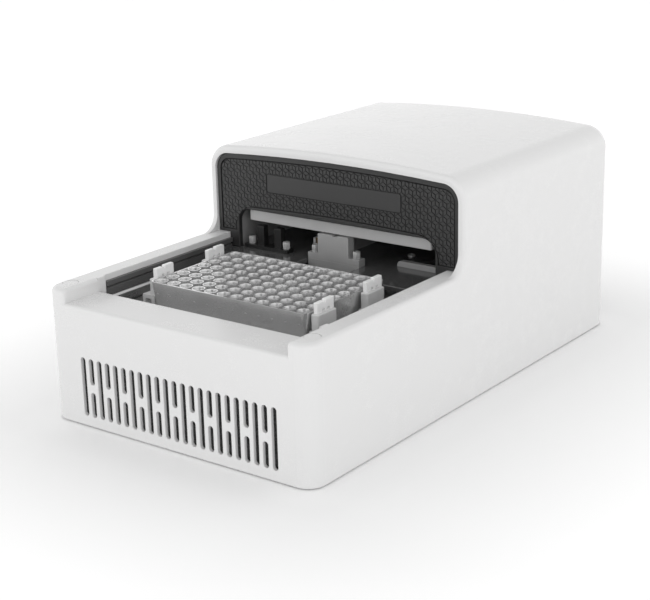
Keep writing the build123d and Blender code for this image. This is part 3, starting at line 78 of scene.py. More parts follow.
def make_camera():
    """The camera of the reference view."""
    level = math.cos(CAMERA_ELEVATION)
    back = Vector(
        (math.sin(CAMERA_AZIMUTH) * level, -math.cos(CAMERA_AZIMUTH) * level, math.sin(CAMERA_ELEVATION))
    )
    right = (-back).cross(Vector((0, 0, 1))).normalized()
    up = right.cross(-back)
    turned_right = right * math.cos(CAMERA_ROLL) + up * math.sin(CAMERA_ROLL)
    turned_up = up * math.cos(CAMERA_ROLL) - right * math.sin(CAMERA_ROLL)
    data = bpy.data.cameras.new("camera")
    data.sensor_fit = "HORIZONTAL"
    data.sensor_width = SENSOR_WIDTH
    data.lens = FOCAL_PIXELS * SENSOR_WIDTH / IMAGE_WIDTH
    data.clip_end = 20
    camera = bpy.data.objects.new("camera", data)
    axes = Matrix((turned_right, turned_up, back)).transposed().to_4x4()
    camera.matrix_world = Matrix.Translation(CAMERA_AT) @ axes
    bpy.context.scene.collection.objects.link(camera)
    bpy.context.scene.camera = camera


# ---------------------------------------------------------------- node helpers
def new_material(name):
    """An empty node material with its shader, and the tree to add to."""
    material = bpy.data.materials.new(name)
    material.use_nodes = True
    tree = material.node_tree
    shader = tree.nodes["Principled BSDF"]
    return material, tree, shader


def add_node(tree, kind, inputs=None, **settings):
    """Adds a node with these settings and input values, and returns it."""
    node = tree.nodes.new(kind)
    for key, value in settings.items():
        setattr(node, key, value)
    for key, value in (inputs or {}).items():
        if isinstance(value, bpy.types.NodeSocket):
            tree.links.new(value, node.inputs[key])
        else:
            node.inputs[key].default_value = value
    return node


def place(tree, scale=(1, 1, 1)):
    """The piece's own coordinates in metres, stretched by scale."""
    coordinates = add_node(tree, "ShaderNodeTexCoord")
    mapping = add_node(tree, "ShaderNodeMapping", {"Vector": coordinates.outputs["Object"], "Scale": scale})
    return mapping.outputs["Vector"]


def noise(tree, where, scale, detail=3.0):
    """Noise with about scale features to the metre."""
    node = add_node(
        tree, "ShaderNodeTexNoise", {"Vector": where, "Scale": scale, "Detail": detail, "Roughness": 0.55}
    )
    return node.outputs["Fac"]


def spread(tree, value, low, high):
    """Turns a 0..1 value centred on 0.5 into low..high."""
    node = add_node(
        tree, "ShaderNodeMapRange",
        {"Value": value, "From Min": 0.3, "From Max": 0.7, "To Min": low, "To Max": high},
    )
    return node.outputs["Result"]


def blend_colour(tree, factor, first, second):
    """A colour between two colours."""
    node = add_node(tree, "ShaderNodeMix", data_type="RGBA")
    for socket, value in ((node.inputs[0], factor), (node.inputs[6], first), (node.inputs[7], second)):
        if isinstance(value, bpy.types.NodeSocket):
            tree.links.new(value, socket)
        elif isinstance(value, (tuple, list)):
            socket.default_value = (*value, 1.0)
        else:
            socket.default_value = value
    return node.outputs[2]


def edges(tree, radius):
    """Normals rounded over edges, and a mask that is 1 along outer edges."""
    rounded = add_node(tree, "ShaderNodeBevel", {"Radius": radius}, samples=4)
    geometry = add_node(tree, "ShaderNodeNewGeometry")
    same = add_node(
        tree, "ShaderNodeVectorMath",
        {0: rounded.outputs["Normal"], 1: geometry.outputs["Normal"]}, operation="DOT_PRODUCT",
    )
    mask = add_node(
        tree, "ShaderNodeMapRange",
        {"Value": same.outputs["Value"], "From Min": 0.985, "From Max": 0.8, "To Min": 0.0, "To Max": 1.0},
    )
    return rounded.outputs["Normal"], mask.outputs["Result"]


def grey(value, warmth=0.0):
    """A near-neutral colour, a little warm or cool."""
    return (value * (1 + warmth), value, value * (1 - warmth))


def surface(
    name, colour, rough, *, metal=0.0, spec=0.5, coat=0.0, vary=0.06, rough_vary=0.08,
    grain=1400.0, bump=0.02, stretch=(1, 1, 1), edge=0.25, edge_wear_and_highlight=0.15, dust=0.0,
):
    """A moulded, painted or machined surface: fine grain, slow shade and gloss changes, rounded edges that
    are lightened partly as wear and partly as a painted highlight. grain is its features to the metre, bump
    its height in millimetres, edge the radius of its edges in millimetres, and stretch draws the grain out
    along an axis. dust settles on faces that look up. edge_wear_and_highlight is how strongly the edges are
    lightened."""
    material, tree, shader = new_material(name)
    where = place(tree)
    fine_where = place(tree, stretch)
    slow = noise(tree, where, 38.0, 4.0)
    fine = noise(tree, fine_where, grain, 2.5)
    dark = tuple(c * (1 - vary) for c in colour)
    light = tuple(min(1.0, c * (1 + vary)) for c in colour)
    shade = blend_colour(tree, spread(tree, slow, 0.0, 1.0), dark, light)
    speck = blend_colour(tree, spread(tree, fine, 0.0, 0.35), shade, light)
    normal, edge_mask = edges(tree, edge * MM)
    # painted highlight and wear: the edge mask, broken up by noise, lightens the colour along edges
    worn_and_lit = add_node(
        tree, "ShaderNodeMath",
        {0: edge_mask, 1: spread(tree, noise(tree, where, 260.0), 0.3, 1.0)}, operation="MULTIPLY",
    )
    amount = add_node(tree, "ShaderNodeMath", {0: worn_and_lit.outputs[0], 1: edge_wear_and_highlight}, operation="MULTIPLY")
    brighter = tuple(min(1.0, c * 1.5 + 0.03) for c in colour)
    final = blend_colour(tree, amount.outputs[0], speck, brighter)
    if dust:
        geometry = add_node(tree, "ShaderNodeNewGeometry")
        facing = add_node(tree, "ShaderNodeSeparateXYZ", {"Vector": geometry.outputs["Normal"]})
        settled = add_node(
            tree, "ShaderNodeMath",
            {0: facing.outputs["Z"], 1: spread(tree, noise(tree, where, 520.0, 5.0), 0.0, dust)},
            operation="MULTIPLY", use_clamp=True,
        )
        final = blend_colour(tree, settled.outputs[0], final, grey(0.6))
    tree.links.new(final, shader.inputs["Base Color"])
    gloss = add_node(
        tree, "ShaderNodeMath",
        {0: spread(tree, slow, rough - rough_vary, rough + rough_vary), 1: spread(tree, fine, -0.02, 0.02)},
        operation="ADD", use_clamp=True,
    )
    tree.links.new(gloss.outputs[0], shader.inputs["Roughness"])
    relief = add_node(
        tree, "ShaderNodeBump",
        {"Strength": 1.0, "Distance": bump * MM, "Height": fine, "Normal": normal},
    )
    tree.links.new(relief.outputs["Normal"], shader.inputs["Normal"])
    shader.inputs["Metallic"].default_value = metal
    shader.inputs["Specular IOR Level"].default_value = spec
    shader.inputs["Coat Weight"].default_value = coat
    shader.inputs["Coat Roughness"].default_value = 0.12
    return material


def circuit_board():
    """Green solder mask over copper tracks."""
    material, tree, shader = new_material("circuit_board")
    where = place(tree)
    tracks = add_node(
        tree, "ShaderNodeTexBrick",
        {"Vector": where, "Scale": 260.0, "Mortar Size": 0.06, "Bias": 0.1, "Brick Width": 0.9,
         "Row Height": 0.22},
    )
    pads = add_node(tree, "ShaderNodeTexVoronoi", {"Vector": where, "Scale": 310.0})
    holes = add_node(
        tree, "ShaderNodeMapRange",
        {"Value": pads.outputs["Distance"], "From Min": 0.1, "From Max": 0.16, "To Min": 1.0, "To Max": 0.0},
    )
    mask = blend_colour(tree, tracks.outputs["Fac"], (0.012, 0.09, 0.035), (0.02, 0.16, 0.06))
    final = blend_colour(tree, holes.outputs["Result"], mask, (0.55, 0.48, 0.3))
    tree.links.new(final, shader.inputs["Base Color"])
    gloss = spread(tree, noise(tree, where, 60.0), 0.25, 0.4)
    tree.links.new(gloss, shader.inputs["Roughness"])
    relief = add_node(
        tree, "ShaderNodeBump", {"Distance": 0.03 * MM, "Height": tracks.outputs["Fac"], "Strength": 0.8}
    )
    tree.links.new(relief.outputs["Normal"], shader.inputs["Normal"])
    return material


def foam():
    """Open-cell black foam: a dark sponge with pits, painted darker towards their bottoms as painted shade.
    """
    material, tree, shader = new_material("filter_foam")
    cells = add_node(
        tree, "ShaderNodeTexVoronoi", {"Vector": place(tree), "Scale": 900.0, "Randomness": 1.0}
    )
    # painted shade: the deeper into a pit, the darker the colour
    depth = spread(tree, cells.outputs["Distance"], 0.0, 1.0)
    tree.links.new(blend_colour(tree, depth, grey(0.004), grey(0.03)), shader.inputs["Base Color"])
    relief = add_node(tree, "ShaderNodeBump", {"Distance": 0.4 * MM, "Height": depth, "Strength": 1.0})
    tree.links.new(relief.outputs["Normal"], shader.inputs["Normal"])
    shader.inputs["Roughness"].default_value = 0.9
    return material


def shaded_grooves(material, front, depth):
    """Darkens a sheet's surface behind its front, where little light reaches the grooves. front is a
    y position in metres, and depth is how far behind it the surface is darkest, in millimetres."""
    tree = material.node_tree
    colour = tree.nodes["Principled BSDF"].inputs["Base Color"]
    at = add_node(tree, "ShaderNodeSeparateXYZ", {"Vector": place(tree)})
    lit = add_node(
        tree, "ShaderNodeMapRange",
        {"Value": at.outputs["Y"], "From Min": front + 0.01 * MM, "From Max": front + depth * MM,
         "To Min": 1.0, "To Max": 0.0},
    )
    whole = colour.links[0].from_socket
    tree.links.new(blend_colour(tree, lit.outputs["Result"], grey(0.004), whole), colour)
    return material


# ---------------------------------------------------------------- materials, one for each slot of the record
# Each surface's edges are lightened partly as wear and partly as a painted highlight, by the amount given for
# it.
LOOKS = {
    "housing_white": surface(
        "housing_white", grey(0.735, 0.001), 0.26, vary=0.003, rough_vary=0.02, grain=2200, bump=0.002,
        edge=0.5, edge_wear_and_highlight=0.1, spec=0.25,
    ),
    "fascia_grey": surface(
        "fascia_grey", grey(0.026), 0.42, grain=2600, bump=0.008, edge_wear_and_highlight=0.15, edge=0.3,
    ),
    "fascia_textured": shaded_grooves(
        surface("fascia_textured", grey(0.036), 0.5, grain=3000, bump=0.006, edge_wear_and_highlight=0.0, edge=0.04),
        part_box("fascia_panel")[0].y, 0.08,
    ),
    "base_metal": surface("base_metal", grey(0.5), 0.38, metal=0.9, grain=900, stretch=(1, 0.05, 1)),
    "filter_foam": foam(),
    "foot_rubber": surface("foot_rubber", grey(0.03), 0.8, grain=1800, bump=0.03, edge_wear_and_highlight=0.3, dust=0.2),
    "tray_black": surface("tray_black", grey(0.22), 0.3, grain=1500, bump=0.006, edge_wear_and_highlight=0.3, metal=0.3),
    "liner_grey": surface(
        "liner_grey", grey(0.1), 0.35, grain=1200, bump=0.008, stretch=(1, 0.1, 1), edge_wear_and_highlight=0.5,
    ),
    "rail_aluminium": surface(
        "rail_aluminium", grey(0.55), 0.3, metal=1.0, grain=1600, bump=0.01, stretch=(1, 0.03, 1), edge_wear_and_highlight=0.3
    ),
    "block_grey": surface(
        "block_grey", grey(0.76), 0.22, metal=0.75, grain=1800, bump=0.0, vary=0.02, edge_wear_and_highlight=0.3, edge=0.15
    ),
    "ceramic_white": surface("ceramic_white", grey(0.75), 0.5, grain=1500, bump=0.01),
    "sink_aluminium": surface(
        "sink_aluminium", grey(0.6), 0.35, metal=1.0, grain=1300, stretch=(1, 1, 0.05), bump=0.01
    ),
    "deck_black": surface(
        "deck_black", grey(0.08), 0.18, vary=0.05, rough_vary=0.03, grain=900, bump=0.0015, coat=0.5,
        edge_wear_and_highlight=0.4,
    ),
    "standoff_steel": surface(
        "standoff_steel", grey(0.55), 0.3, metal=1.0, grain=1500, stretch=(1, 1, 0.05),
    ),
    "ledge_light": surface(
        "ledge_light", grey(0.34), 0.42, metal=0.15, grain=1500, bump=0.008, stretch=(1, 0.1, 1),
    ),
    "sensor_black": surface("sensor_black", grey(0.012), 0.32, grain=1800, bump=0.01, edge_wear_and_highlight=0.35),
    "dock_grey": surface(
        "dock_grey", grey(0.4), 0.42, metal=0.25, grain=1600, bump=0.01, edge_wear_and_highlight=0.45, edge=0.3,
    ),
    "screw_steel": surface("screw_steel", grey(0.42), 0.38, metal=0.4, grain=1500, bump=0.004, edge_wear_and_highlight=0.3),
    "lid_grey": surface(
        "lid_grey", grey(0.47), 0.4, metal=0.2, grain=1500, bump=0.006, stretch=(0.06, 1, 1), edge=0.4,
    ),
    "platen_aluminium": surface(
        "platen_aluminium", grey(0.6), 0.24, metal=1.0, grain=1400, stretch=(0.05, 1, 1),
    ),
    "bronze": surface("bronze", (0.42, 0.25, 0.1), 0.3, metal=1.0, grain=900, bump=0.01),
    "belt_rubber": surface("belt_rubber", grey(0.02), 0.65, grain=2400, bump=0.03, edge_wear_and_highlight=0.2),
    "motor_black": surface("motor_black", grey(0.035), 0.35, grain=1200, bump=0.01, edge_wear_and_highlight=0.5),
    "fan_black": surface("fan_black", grey(0.025), 0.4, grain=1500, bump=0.008, edge_wear_and_highlight=0.3, dust=0.03),
    "guard_chrome": surface("guard_chrome", grey(0.75), 0.16, metal=1.0, grain=700, bump=0.004),
    "panel_grey": surface("panel_grey", grey(0.25), 0.4, metal=0.3, grain=1800, bump=0.02, edge_wear_and_highlight=0.5),
    "screw_black": surface("screw_black", grey(0.03), 0.3, metal=0.7, grain=1500, bump=0.008, edge_wear_and_highlight=0.8),
    "module_black": surface("module_black", grey(0.02), 0.4, grain=1700, bump=0.02, edge_wear_and_highlight=0.3),
    "rocker_black": surface("rocker_black", grey(0.018), 0.25, grain=1500, bump=0.006, edge_wear_and_highlight=0.3),
    "port_metal": surface(
        "port_metal", grey(0.6), 0.25, metal=1.0, grain=1500, stretch=(1, 0.1, 1), edge_wear_and_highlight=0.4,
    ),
    "board_green": circuit_board(),
    "cap_white": surface(
        "cap_white", grey(0.82), 0.35, grain=1600, bump=0.008, vary=0.02, edge=0.35, edge_wear_and_highlight=0.1,
    ),
    "post_grey": surface(
        "post_grey", grey(0.58), 0.42, grain=1700, bump=0.012, vary=0.05, edge=0.3, edge_wear_and_highlight=0.25,
    ),
    "spring_steel": surface("spring_steel", grey(0.55), 0.2, metal=1.0, grain=900, bump=0.004),
}

for node in nodes.values():
    for holder in node.material_slots:
        holder.material = LOOKS[holder.material.name.split(".")[0]]


# ---------------------------------------------------------------- piece helpers
SMOOTH_UP_TO = math.radians(35)     # edges sharper than this stay sharp


def make_piece(name, build, slot, body):
    """Makes a piece from a bmesh, gives it its slot's material and puts it on its body."""
    mesh = bpy.data.meshes.new(name)
    build.normal_update()
    build.to_mesh(mesh)
    build.free()
    mesh.materials.append(LOOKS[slot])
    piece = bpy.data.objects.new(name, mesh)
    bpy.context.scene.collection.objects.link(piece)
    mesh.shade_smooth()
    mesh.set_sharp_from_angle(angle=SMOOTH_UP_TO)
    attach(piece, body)
    return piece


def prism(build, outline, low, high, top_inset):
    """Adds a closed prism over an outline drawn in x and z. low and high are y positions, and the outline at
    high is drawn in towards its middle by top_inset. All are in millimetres."""
    count = len(outline)
    centre = Vector((sum(p[0] for p in outline) / count, sum(p[1] for p in outline) / count))
    base = [build.verts.new(Vector((p[0], low, p[1])) * MM) for p in outline]
    crown = []
    for p in outline:
        offset = Vector(p) - centre
        drawn = offset * max(0.0, 1 - top_inset / max(offset.length, 1e-6))
        crown.append(build.verts.new(Vector((centre.x + drawn.x, high, centre.y + drawn.y)) * MM))
    build.faces.new(crown)
    build.faces.new(base[::-1])
    for i in range(count):
        j = (i + 1) % count
        build.faces.new((base[i], base[j], crown[j], crown[i]))


def clipped(outline, point, normal):
    """The part of a convex outline on the side of a line that normal points to."""
    kept = []
    for i, here in enumerate(outline):
        there = outline[(i + 1) % len(outline)]
        a = (here - point).dot(normal)
        b = (there - point).dot(normal)
        if a >= 0:
            kept.append(here)
        if a * b < 0:
            kept.append(here + (there - here) * (a / (a - b)))
    return kept


def outline_area(outline):
    """Area of a convex outline."""
    return 0.5 * abs(
        sum(p.x * q.y - q.x * p.y for p, q in zip(outline, outline[1:] + outline[:1]))
    )


def rounded_box(centre, half, radius):
    """Returns a function that gives a point's distance outside a rounded rectangle and the way out."""

    def measure(point):
        offset = point - centre
        side = Vector((math.copysign(1, offset.x), math.copysign(1, offset.y)))
        inner = Vector((abs(offset.x) - half.x + radius, abs(offset.y) - half.y + radius))
        if inner.x > 0 and inner.y > 0:
            direction = inner.normalized()
            distance = inner.length - radius
        elif inner.x > inner.y:
            direction, distance = Vector((1, 0)), inner.x - radius
        else:
            direction, distance = Vector((0, 1)), inner.y - radius
        return distance, Vector((direction.x * side.x, direction.y * side.y))

    return measure


# ---------------------------------------------------------------- fascia panel with its cube pattern
# in millimetres
TILE_PITCH = 4.96           # between neighbouring six-way corners
TILE_GAP = 0.2              # from a rhomb's edge to the middle of the groove beside it
TILE_TIP = 0.55             # cut off the rhombs' sharp ends
TILE_RISE = 0.4             # from the sheet's lowered front to the rhombs' fronts
TILE_BACK_GAP = 0.05        # left between a rhomb's back and the sheet behind it
TILE_INSET = 0.06           # how far a rhomb's front is drawn in
SMALLEST_TILE = 0.4         # in square millimetres
FIRST_ROW_BELOW_TOP = 4.68
FIRST_CORNER_X = -1.1
TILE_ROWS = range(-2, 12)
CROWN_R = 1200.0            # arch of the panel's upper edges
OUTER_CORNER_R = 6.8
INNER_HALF_W = 72.85        # the panel's edge beside and over the opening
INNER_CORNER_R = 14.0
INNER_REACH = 40.0          # half height of the box that stands for the opening
BELOW_PANEL = 10.0          # how far the outer box runs on below the panel
LABEL_HALF = Vector((47.8, 5.3))
LABEL_BELOW_TOP = 14.15     # label's centre below the panel's top
LABEL_CLEAR = Vector((0.3, 0.3))
LABEL_CLEAR_R = 1.2
LABEL_CORNER_R = 1.0
LABEL_CORNER_STEPS = 32     # points round the label's four corners
LABEL_CORNER_START = 5.6    # where the first of them is, in degrees
LABEL_INSET = 0.15
OPENING_WITHIN_X = 60.0     # the panel's edge over the opening is looked for within this of the middle
OPENING_BELOW_Z = 110.0     # and below this height
SHEET_FRONT = 0.1           # the sheet's front vertices are within this of its front
OFF_PANEL = 1.0             # rhombs with their middles this far below the panel are left out


def rhomb_at(corner, turn):
    """The rhomb whose long diagonal starts at corner and points along turn degrees, less its gaps and tips,
    and its middle."""
    angle = math.radians(turn)
    along = Vector((math.cos(angle), math.sin(angle)))
    across = Vector((-along.y, along.x))
    middle = corner + along * TILE_PITCH / 2
    wide = TILE_PITCH / (2 * math.sqrt(3))
    shrink = 1 - TILE_GAP / (wide * math.cos(math.radians(30)))
    rhomb = [
        middle + (-along * TILE_PITCH / 2) * shrink,
        middle - across * wide * shrink,
        middle + (along * TILE_PITCH / 2) * shrink,
        middle + across * wide * shrink,
    ]
    rhomb = clipped(rhomb, corner + along * TILE_TIP, along)
    return clipped(rhomb, corner + along * (TILE_PITCH - TILE_TIP), -along), middle


def trimmed(rhomb, borders):
    """What is left of a rhomb within the borders. Each border is a rounded box's measure, 1 to stay outside
    it or -1 to stay inside, and whether its edges follow the panel's arch."""
    for measure, sign, arched in borders:
        if len(rhomb) < 3:
            break
        centre = sum(rhomb, Vector((0, 0))) / len(rhomb)
        arch = Vector((0, centre.x ** 2 / (2 * CROWN_R) if arched else 0))
        distance, direction = measure(centre + arch)
        on_line = centre - direction * distance
        rhomb = clipped(rhomb, on_line + direction * sign * TILE_GAP, direction * sign)
    return rhomb


def worth_making(rhomb):
    """Whether enough of a rhomb is left."""
    return len(rhomb) >= 3 and outline_area(rhomb) >= SMALLEST_TILE


def label_outline(centre_z):
    """The blank label field: a rectangle with rounded corners."""
    outline = []
    turn = 360 / LABEL_CORNER_STEPS
    for index in range(LABEL_CORNER_STEPS):
        angle = math.radians(turn * index + LABEL_CORNER_START)
        side = Vector((math.copysign(1, math.cos(angle)), math.copysign(1, math.sin(angle))))
        core = Vector((side.x * (LABEL_HALF.x - LABEL_CORNER_R), side.y * (LABEL_HALF.y - LABEL_CORNER_R)))
        across, up = LABEL_CORNER_R * math.cos(angle), LABEL_CORNER_R * math.sin(angle)
        outline.append(Vector((core.x + across, core.y + centre_z + up)))
    return outline


def opening_top():
    """Height of the panel's edge over the opening, in millimetres, from its own mesh."""
    heights = [
        vert.co.z for vert in nodes["fascia_panel"].data.vertices
        if abs(vert.co.x) < OPENING_WITHIN_X * MM and vert.co.z < OPENING_BELOW_Z * MM
    ]
    return max(heights) / MM


def fascia_tiles():
    """The panel's sheet, rhombs in relief that read as stacked cubes, and a smooth blank label field."""
    low, high = (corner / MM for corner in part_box("fascia_panel"))
    back = low.y + TILE_RISE
    build = bmesh.new()
    build.from_mesh(nodes["fascia_panel"].data)
    bmesh.ops.remove_doubles(build, verts=build.verts, dist=1e-6)
    for vert in build.verts:
        if vert.co.y < (low.y + SHEET_FRONT) * MM:
            vert.co.y = back * MM
    outer_middle = Vector((0, (low.z + high.z) / 2 - BELOW_PANEL / 2))
    outer_half = Vector((high.x, (high.z - low.z) / 2 + BELOW_PANEL / 2))
    inner_middle = Vector((0, opening_top() - INNER_REACH))
    label_z = high.z - LABEL_BELOW_TOP
    borders = (
        (rounded_box(outer_middle, outer_half, OUTER_CORNER_R), -1, True),
        (rounded_box(inner_middle, Vector((INNER_HALF_W, INNER_REACH)), INNER_CORNER_R), 1, True),
        (rounded_box(Vector((0, label_z)), LABEL_HALF + LABEL_CLEAR, LABEL_CLEAR_R), 1, False),
    )
    row_height = TILE_PITCH * math.sin(math.radians(60))
    first_row = high.z - FIRST_ROW_BELOW_TOP
    reach = int(high.x / TILE_PITCH) + 2
    for row in TILE_ROWS:
        for column in range(-reach, reach + 1):
            shift = 0.5 if row % 2 else 0.0
            corner = Vector(((column + shift) * TILE_PITCH + FIRST_CORNER_X, first_row - row * row_height))
            for turn in (0, 60, 120):
                rhomb, middle = rhomb_at(corner, turn)
                rhomb = trimmed(rhomb, borders)
                if not worth_making(rhomb) or middle.y < low.z - OFF_PANEL:
                    continue
                rhomb = clipped(rhomb, Vector((0, low.z + TILE_GAP)), Vector((0, 1)))
                if worth_making(rhomb):
                    prism(build, rhomb, back - TILE_BACK_GAP, low.y, TILE_INSET)
    prism(build, label_outline(label_z), back - TILE_BACK_GAP, low.y, LABEL_INSET)
    bmesh.ops.recalc_face_normals(build, faces=build.faces)
    piece = make_piece("fascia_tiles", build, "fascia_textured", "base")
    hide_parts("fascia_panel")


fascia_tiles()


# ---------------------------------------------------------------- screws
# in millimetres
DOCK_SCREW_X = 14.9         # from the dock bracket's middle
DOCK_SEAT_BELOW_TOP = 4.4   # the dock screws' seats below the highest screw's top
SENSOR_SCREW_LEFT = 4.0     # from the sensor bracket's ends
SENSOR_SCREW_RIGHT = 3.0
SENSOR_SEAT = 2.2           # the bracket's foot is this thick
WASHER = [(0, 0), (2.3, 0), (2.3, 0.5), (1.9, 0.5)]     # each profile is (radius, height)
SHANK = [(1.4, 0.1), (1.4, -4.6), (0, -4.9)]
LEDGE_SCREW = [
    (0, -2.4), (1.35, -2.4), (1.35, 0), (2.35, 0), (2.35, 0.6), (1.9, 1.1), (1.0, 1.2), (0.9, 0.7), (0, 0.7),
]
LEDGE_SCREW_X, LEDGE_SCREW_Y = 29.3, 23.0
HEAD_FOOT = 0.45            # the head starts inside its washer
HEAD_R = 2.42
HEAD_H = 3.9
HEAD_STEPS = 24
ROUND_STEPS = 32
SHANK_STEPS = 24


def turned(build, profile, x, y, z, count):
    """Adds a turned shape round the upright axis through (x, y, z). profile is (radius, height) pairs in
    millimetres, with height above z."""
    rings = []
    for radius, height in profile:
        ring = []
        steps = 1 if radius == 0 else count
        for step in range(steps):
            angle = 2 * math.pi * step / count
            point = (x + radius * math.cos(angle), y + radius * math.sin(angle), z + height)
            ring.append(build.verts.new(Vector(point) * MM))
        rings.append(ring)
    for a, b in zip(rings, rings[1:]):
        for step in range(count):
            after = (step + 1) % count
            if len(a) == 1:
                build.faces.new((a[0], b[step], b[after]))
            elif len(b) == 1:
                build.faces.new((a[step], a[after], b[0]))
            else:
                build.faces.new((a[step], a[after], b[after], b[step]))


def head(build, x, y, z):
    """Adds a hexagon head whose top corners are turned off, with a dimple in the top."""
    # (height, radius, how much of the hexagon's shape the ring has)
    levels = [
        (0.0, HEAD_R, 1.0), (HEAD_H - 0.45, HEAD_R, 1.0), (HEAD_H, HEAD_R * 0.86, 0.5),
        (HEAD_H, 0.9, 0.0), (HEAD_H - 0.35, 0.6, 0.0),
    ]
    rings = []
    for level, size, share in levels:
        ring = []
        for step in range(HEAD_STEPS):
            angle = 2 * math.pi * step / HEAD_STEPS
            flat = math.cos(math.radians(30)) / math.cos((angle % (math.pi / 3)) - math.pi / 6)
            reach = size * (1 - share + share * flat)
            point = (x + reach * math.cos(angle), y + reach * math.sin(angle), z + level)
            ring.append(build.verts.new(Vector(point) * MM))
        rings.append(ring)
    for a, b in zip(rings, rings[1:]):
        for step in range(HEAD_STEPS):
            after = (step + 1) % HEAD_STEPS
            build.faces.new((a[step], a[after], b[after], b[step]))
    build.faces.new(rings[-1])
    build.faces.new(rings[0][::-1])


def hex_screws():
    """The brackets' screws, with hexagon heads on round washers, and the ledge's low round screw."""
    dock_low, dock_high = (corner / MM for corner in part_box("dock_bracket"))
    sensor_low, sensor_high = (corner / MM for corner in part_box("sensor_bracket"))
    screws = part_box("deck_screws")
    deck_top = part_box("deck_plate")[1].z / MM
    dock_x = (dock_low.x + dock_high.x) / 2
    dock_y = (dock_low.y + dock_high.y) / 2
    dock_z = screws[1].z / MM - DOCK_SEAT_BELOW_TOP
    sensor_y = (sensor_low.y + sensor_high.y) / 2
    sensor_z = sensor_low.z + SENSOR_SEAT
    seats = [
        (dock_x - DOCK_SCREW_X, dock_y, dock_z),
        (dock_x + DOCK_SCREW_X, dock_y, dock_z),
        (sensor_low.x + SENSOR_SCREW_LEFT, sensor_y, sensor_z),
        (sensor_high.x - SENSOR_SCREW_RIGHT, sensor_y, sensor_z),
    ]
    build = bmesh.new()
    for x, y, z in seats:
        turned(build, WASHER, x, y, z, ROUND_STEPS)
        head(build, x, y, z + HEAD_FOOT)
        turned(build, SHANK, x, y, z, SHANK_STEPS)
    turned(build, LEDGE_SCREW, LEDGE_SCREW_X, LEDGE_SCREW_Y, deck_top, ROUND_STEPS)
    bmesh.ops.remove_doubles(build, verts=build.verts, dist=1e-7)
    bmesh.ops.recalc_face_normals(build, faces=build.faces)
    piece = make_piece("deck_hex_screws", build, "screw_steel", "base")
    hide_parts("deck_screws")


hex_screws()


# ---------------------------------------------------------------- lifter springs
# in millimetres
SPRING_WIRE = 0.25          # wire radius
SPRING_TURNS = 5
TURN_STEPS = 24
WIRE_STEPS = 8


def coil(middle, low_z, radius, height):
    """A coil of round wire round the upright axis through middle, from low_z up."""
    build = bmesh.new()
    rings = []
    rise = height / (2 * math.pi * SPRING_TURNS)
    for step in range(SPRING_TURNS * TURN_STEPS + 1):
        turn = 2 * math.pi * step / TURN_STEPS
        outward = Vector((math.cos(turn), math.sin(turn), 0))
        along = Vector((-radius * math.sin(turn), radius * math.cos(turn), rise)).normalized()
        across = along.cross(outward)
        centre = Vector((middle.x, middle.y, low_z + SPRING_WIRE + rise * turn)) + outward * radius
        ring = []
        for side in range(WIRE_STEPS):
            angle = 2 * math.pi * side / WIRE_STEPS
            offset = (outward * math.cos(angle) + across * math.sin(angle)) * SPRING_WIRE
            ring.append(build.verts.new((centre + offset) * MM))
        rings.append(ring)
    for here, there in zip(rings, rings[1:]):
        for side in range(WIRE_STEPS):
            after = (side + 1) % WIRE_STEPS
            build.faces.new((here[side], here[after], there[after], there[side]))
    build.faces.new(rings[0][::-1])
    build.faces.new(rings[-1])
    bmesh.ops.recalc_face_normals(build, faces=build.faces)
    return build


def lifter_springs():
    """Coil springs under the lifter caps, each with a mesh of its own."""
    for corner in ("front_left", "front_right", "rear_left", "rear_right"):
        node = "lifter_spring_" + corner
        low, high = (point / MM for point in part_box(node))
        middle = (low + high) / 2
        length = high.z - low.z
        build = coil(middle, low.z, (high.x - low.x) / 2 - SPRING_WIRE, length - 2 * SPRING_WIRE)
        piece = make_piece("coil_" + corner, build, "spring_steel", "base")
        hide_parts(node)
        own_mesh(piece)


lifter_springs()


# ---------------------------------------------------------------- stage
FLOOR_SIZE = 12.0
FLOOR_LOW, FLOOR_HIGH = 0.97, 0.985     # shades of the floor
HORIZON = 1.5                           # brightness of the surroundings, low down and overhead
ZENITH = 0.55
FLOOR_GLOW = 0.17                       # painted light: the floor glows, lifting the far floor to the white of the surroundings, growing between these distances from the object, in metres, which leaves a painted shadow near the object
GLOW_NEAR, GLOW_FAR = 0.02, 0.14        # growing between these distances from the object, in metres
AIM = Vector((0, 0, 0.06))
LAMPS = (
    # name, place and size in metres, power in watts
    ("key", (1.25, -1.65, 0.95), 0.9, 2.0),
    ("fill", (-1.8, -0.9, 1.0), 1.2, 0.8),
)


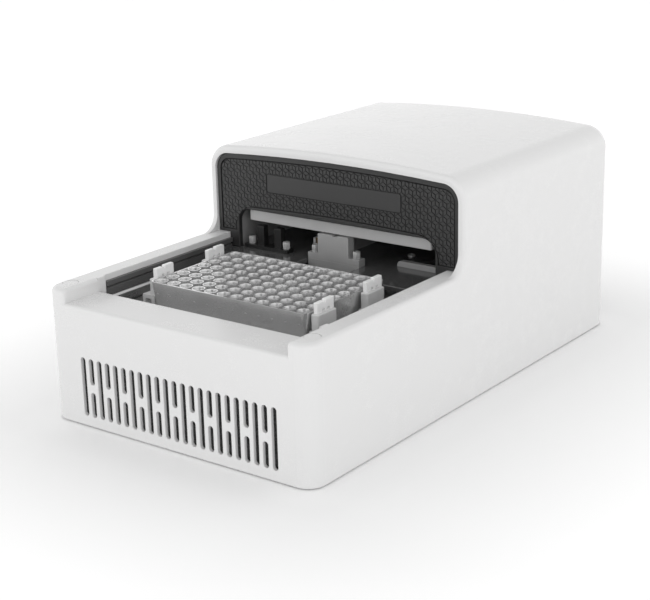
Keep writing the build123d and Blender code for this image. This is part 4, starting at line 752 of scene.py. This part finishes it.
def floor_material():
    """Pale matt floor with painted light: it glows a little away from the object, which leaves a painted
    shadow round the object.
    """
    material, tree, shader = new_material("floor")
    tone = blend_colour(tree, noise(tree, place(tree), 3.0), grey(FLOOR_LOW), grey(FLOOR_HIGH))
    tree.links.new(tone, shader.inputs["Base Color"])
    shader.inputs["Roughness"].default_value = 0.8
    shader.inputs["Specular IOR Level"].default_value = 0.1
    shader.inputs["Emission Color"].default_value = (1, 1, 1, 1)
    footprint = (cad_box[1].x, cad_box[1].y, 0)
    quarter = add_node(tree, "ShaderNodeVectorMath", {0: place(tree)}, operation="ABSOLUTE")
    past = add_node(tree, "ShaderNodeVectorMath", {0: quarter.outputs[0], 1: footprint}, operation="SUBTRACT")
    outside = add_node(tree, "ShaderNodeVectorMath", {0: past.outputs[0], 1: (0, 0, 0)}, operation="MAXIMUM")
    distance = add_node(tree, "ShaderNodeVectorMath", {0: outside.outputs[0]}, operation="LENGTH")
    # painted light and painted shadow: the glow is zero near the object and grows away from it
    ramp = add_node(
        tree, "ShaderNodeMapRange",
        {"Value": distance.outputs["Value"], "From Min": GLOW_NEAR, "From Max": GLOW_FAR,
         "To Min": 0.0, "To Max": FLOOR_GLOW},
    )
    tree.links.new(ramp.outputs["Result"], shader.inputs["Emission Strength"])
    return material


def make_floor():
    """A flat pale floor under the object."""
    build = bmesh.new()
    bmesh.ops.create_grid(build, x_segments=1, y_segments=1, size=FLOOR_SIZE / 2)
    mesh = bpy.data.meshes.new("floor")
    build.to_mesh(mesh)
    build.free()
    floor = bpy.data.objects.new("floor", mesh)
    bpy.context.scene.collection.objects.link(floor)
    mesh.materials.append(floor_material())


def make_surroundings():
    """A white sky, brighter near the horizon."""
    world = bpy.data.worlds.new("surroundings")
    world.use_nodes = True
    tree = world.node_tree
    background = tree.nodes["Background"]
    background.inputs["Color"].default_value = (1, 1, 1, 1)
    direction = add_node(tree, "ShaderNodeTexCoord")
    height = add_node(tree, "ShaderNodeSeparateXYZ", {"Vector": direction.outputs["Generated"]})
    glow = add_node(
        tree, "ShaderNodeMapRange",
        {"Value": height.outputs["Z"], "From Min": 0.0, "From Max": 1.0, "To Min": HORIZON, "To Max": ZENITH},
    )
    tree.links.new(glow.outputs["Result"], background.inputs["Strength"])
    bpy.context.scene.world = world


def make_lamps():
    """Large soft lamps that face the object."""
    for name, at, size, power in LAMPS:
        data = bpy.data.lights.new(name, "AREA")
        data.shape = "DISK"
        data.size = size
        data.energy = power
        lamp = bpy.data.objects.new(name, data)
        lamp.location = at
        aim = AIM - lamp.location
        lamp.rotation_euler = aim.to_track_quat("-Z", "Y").to_euler()
        bpy.context.scene.collection.objects.link(lamp)


make_camera()
make_floor()
make_surroundings()
make_lamps()
bpy.context.scene.view_settings.view_transform = "Standard"
bpy.context.scene.view_settings.look = "None"
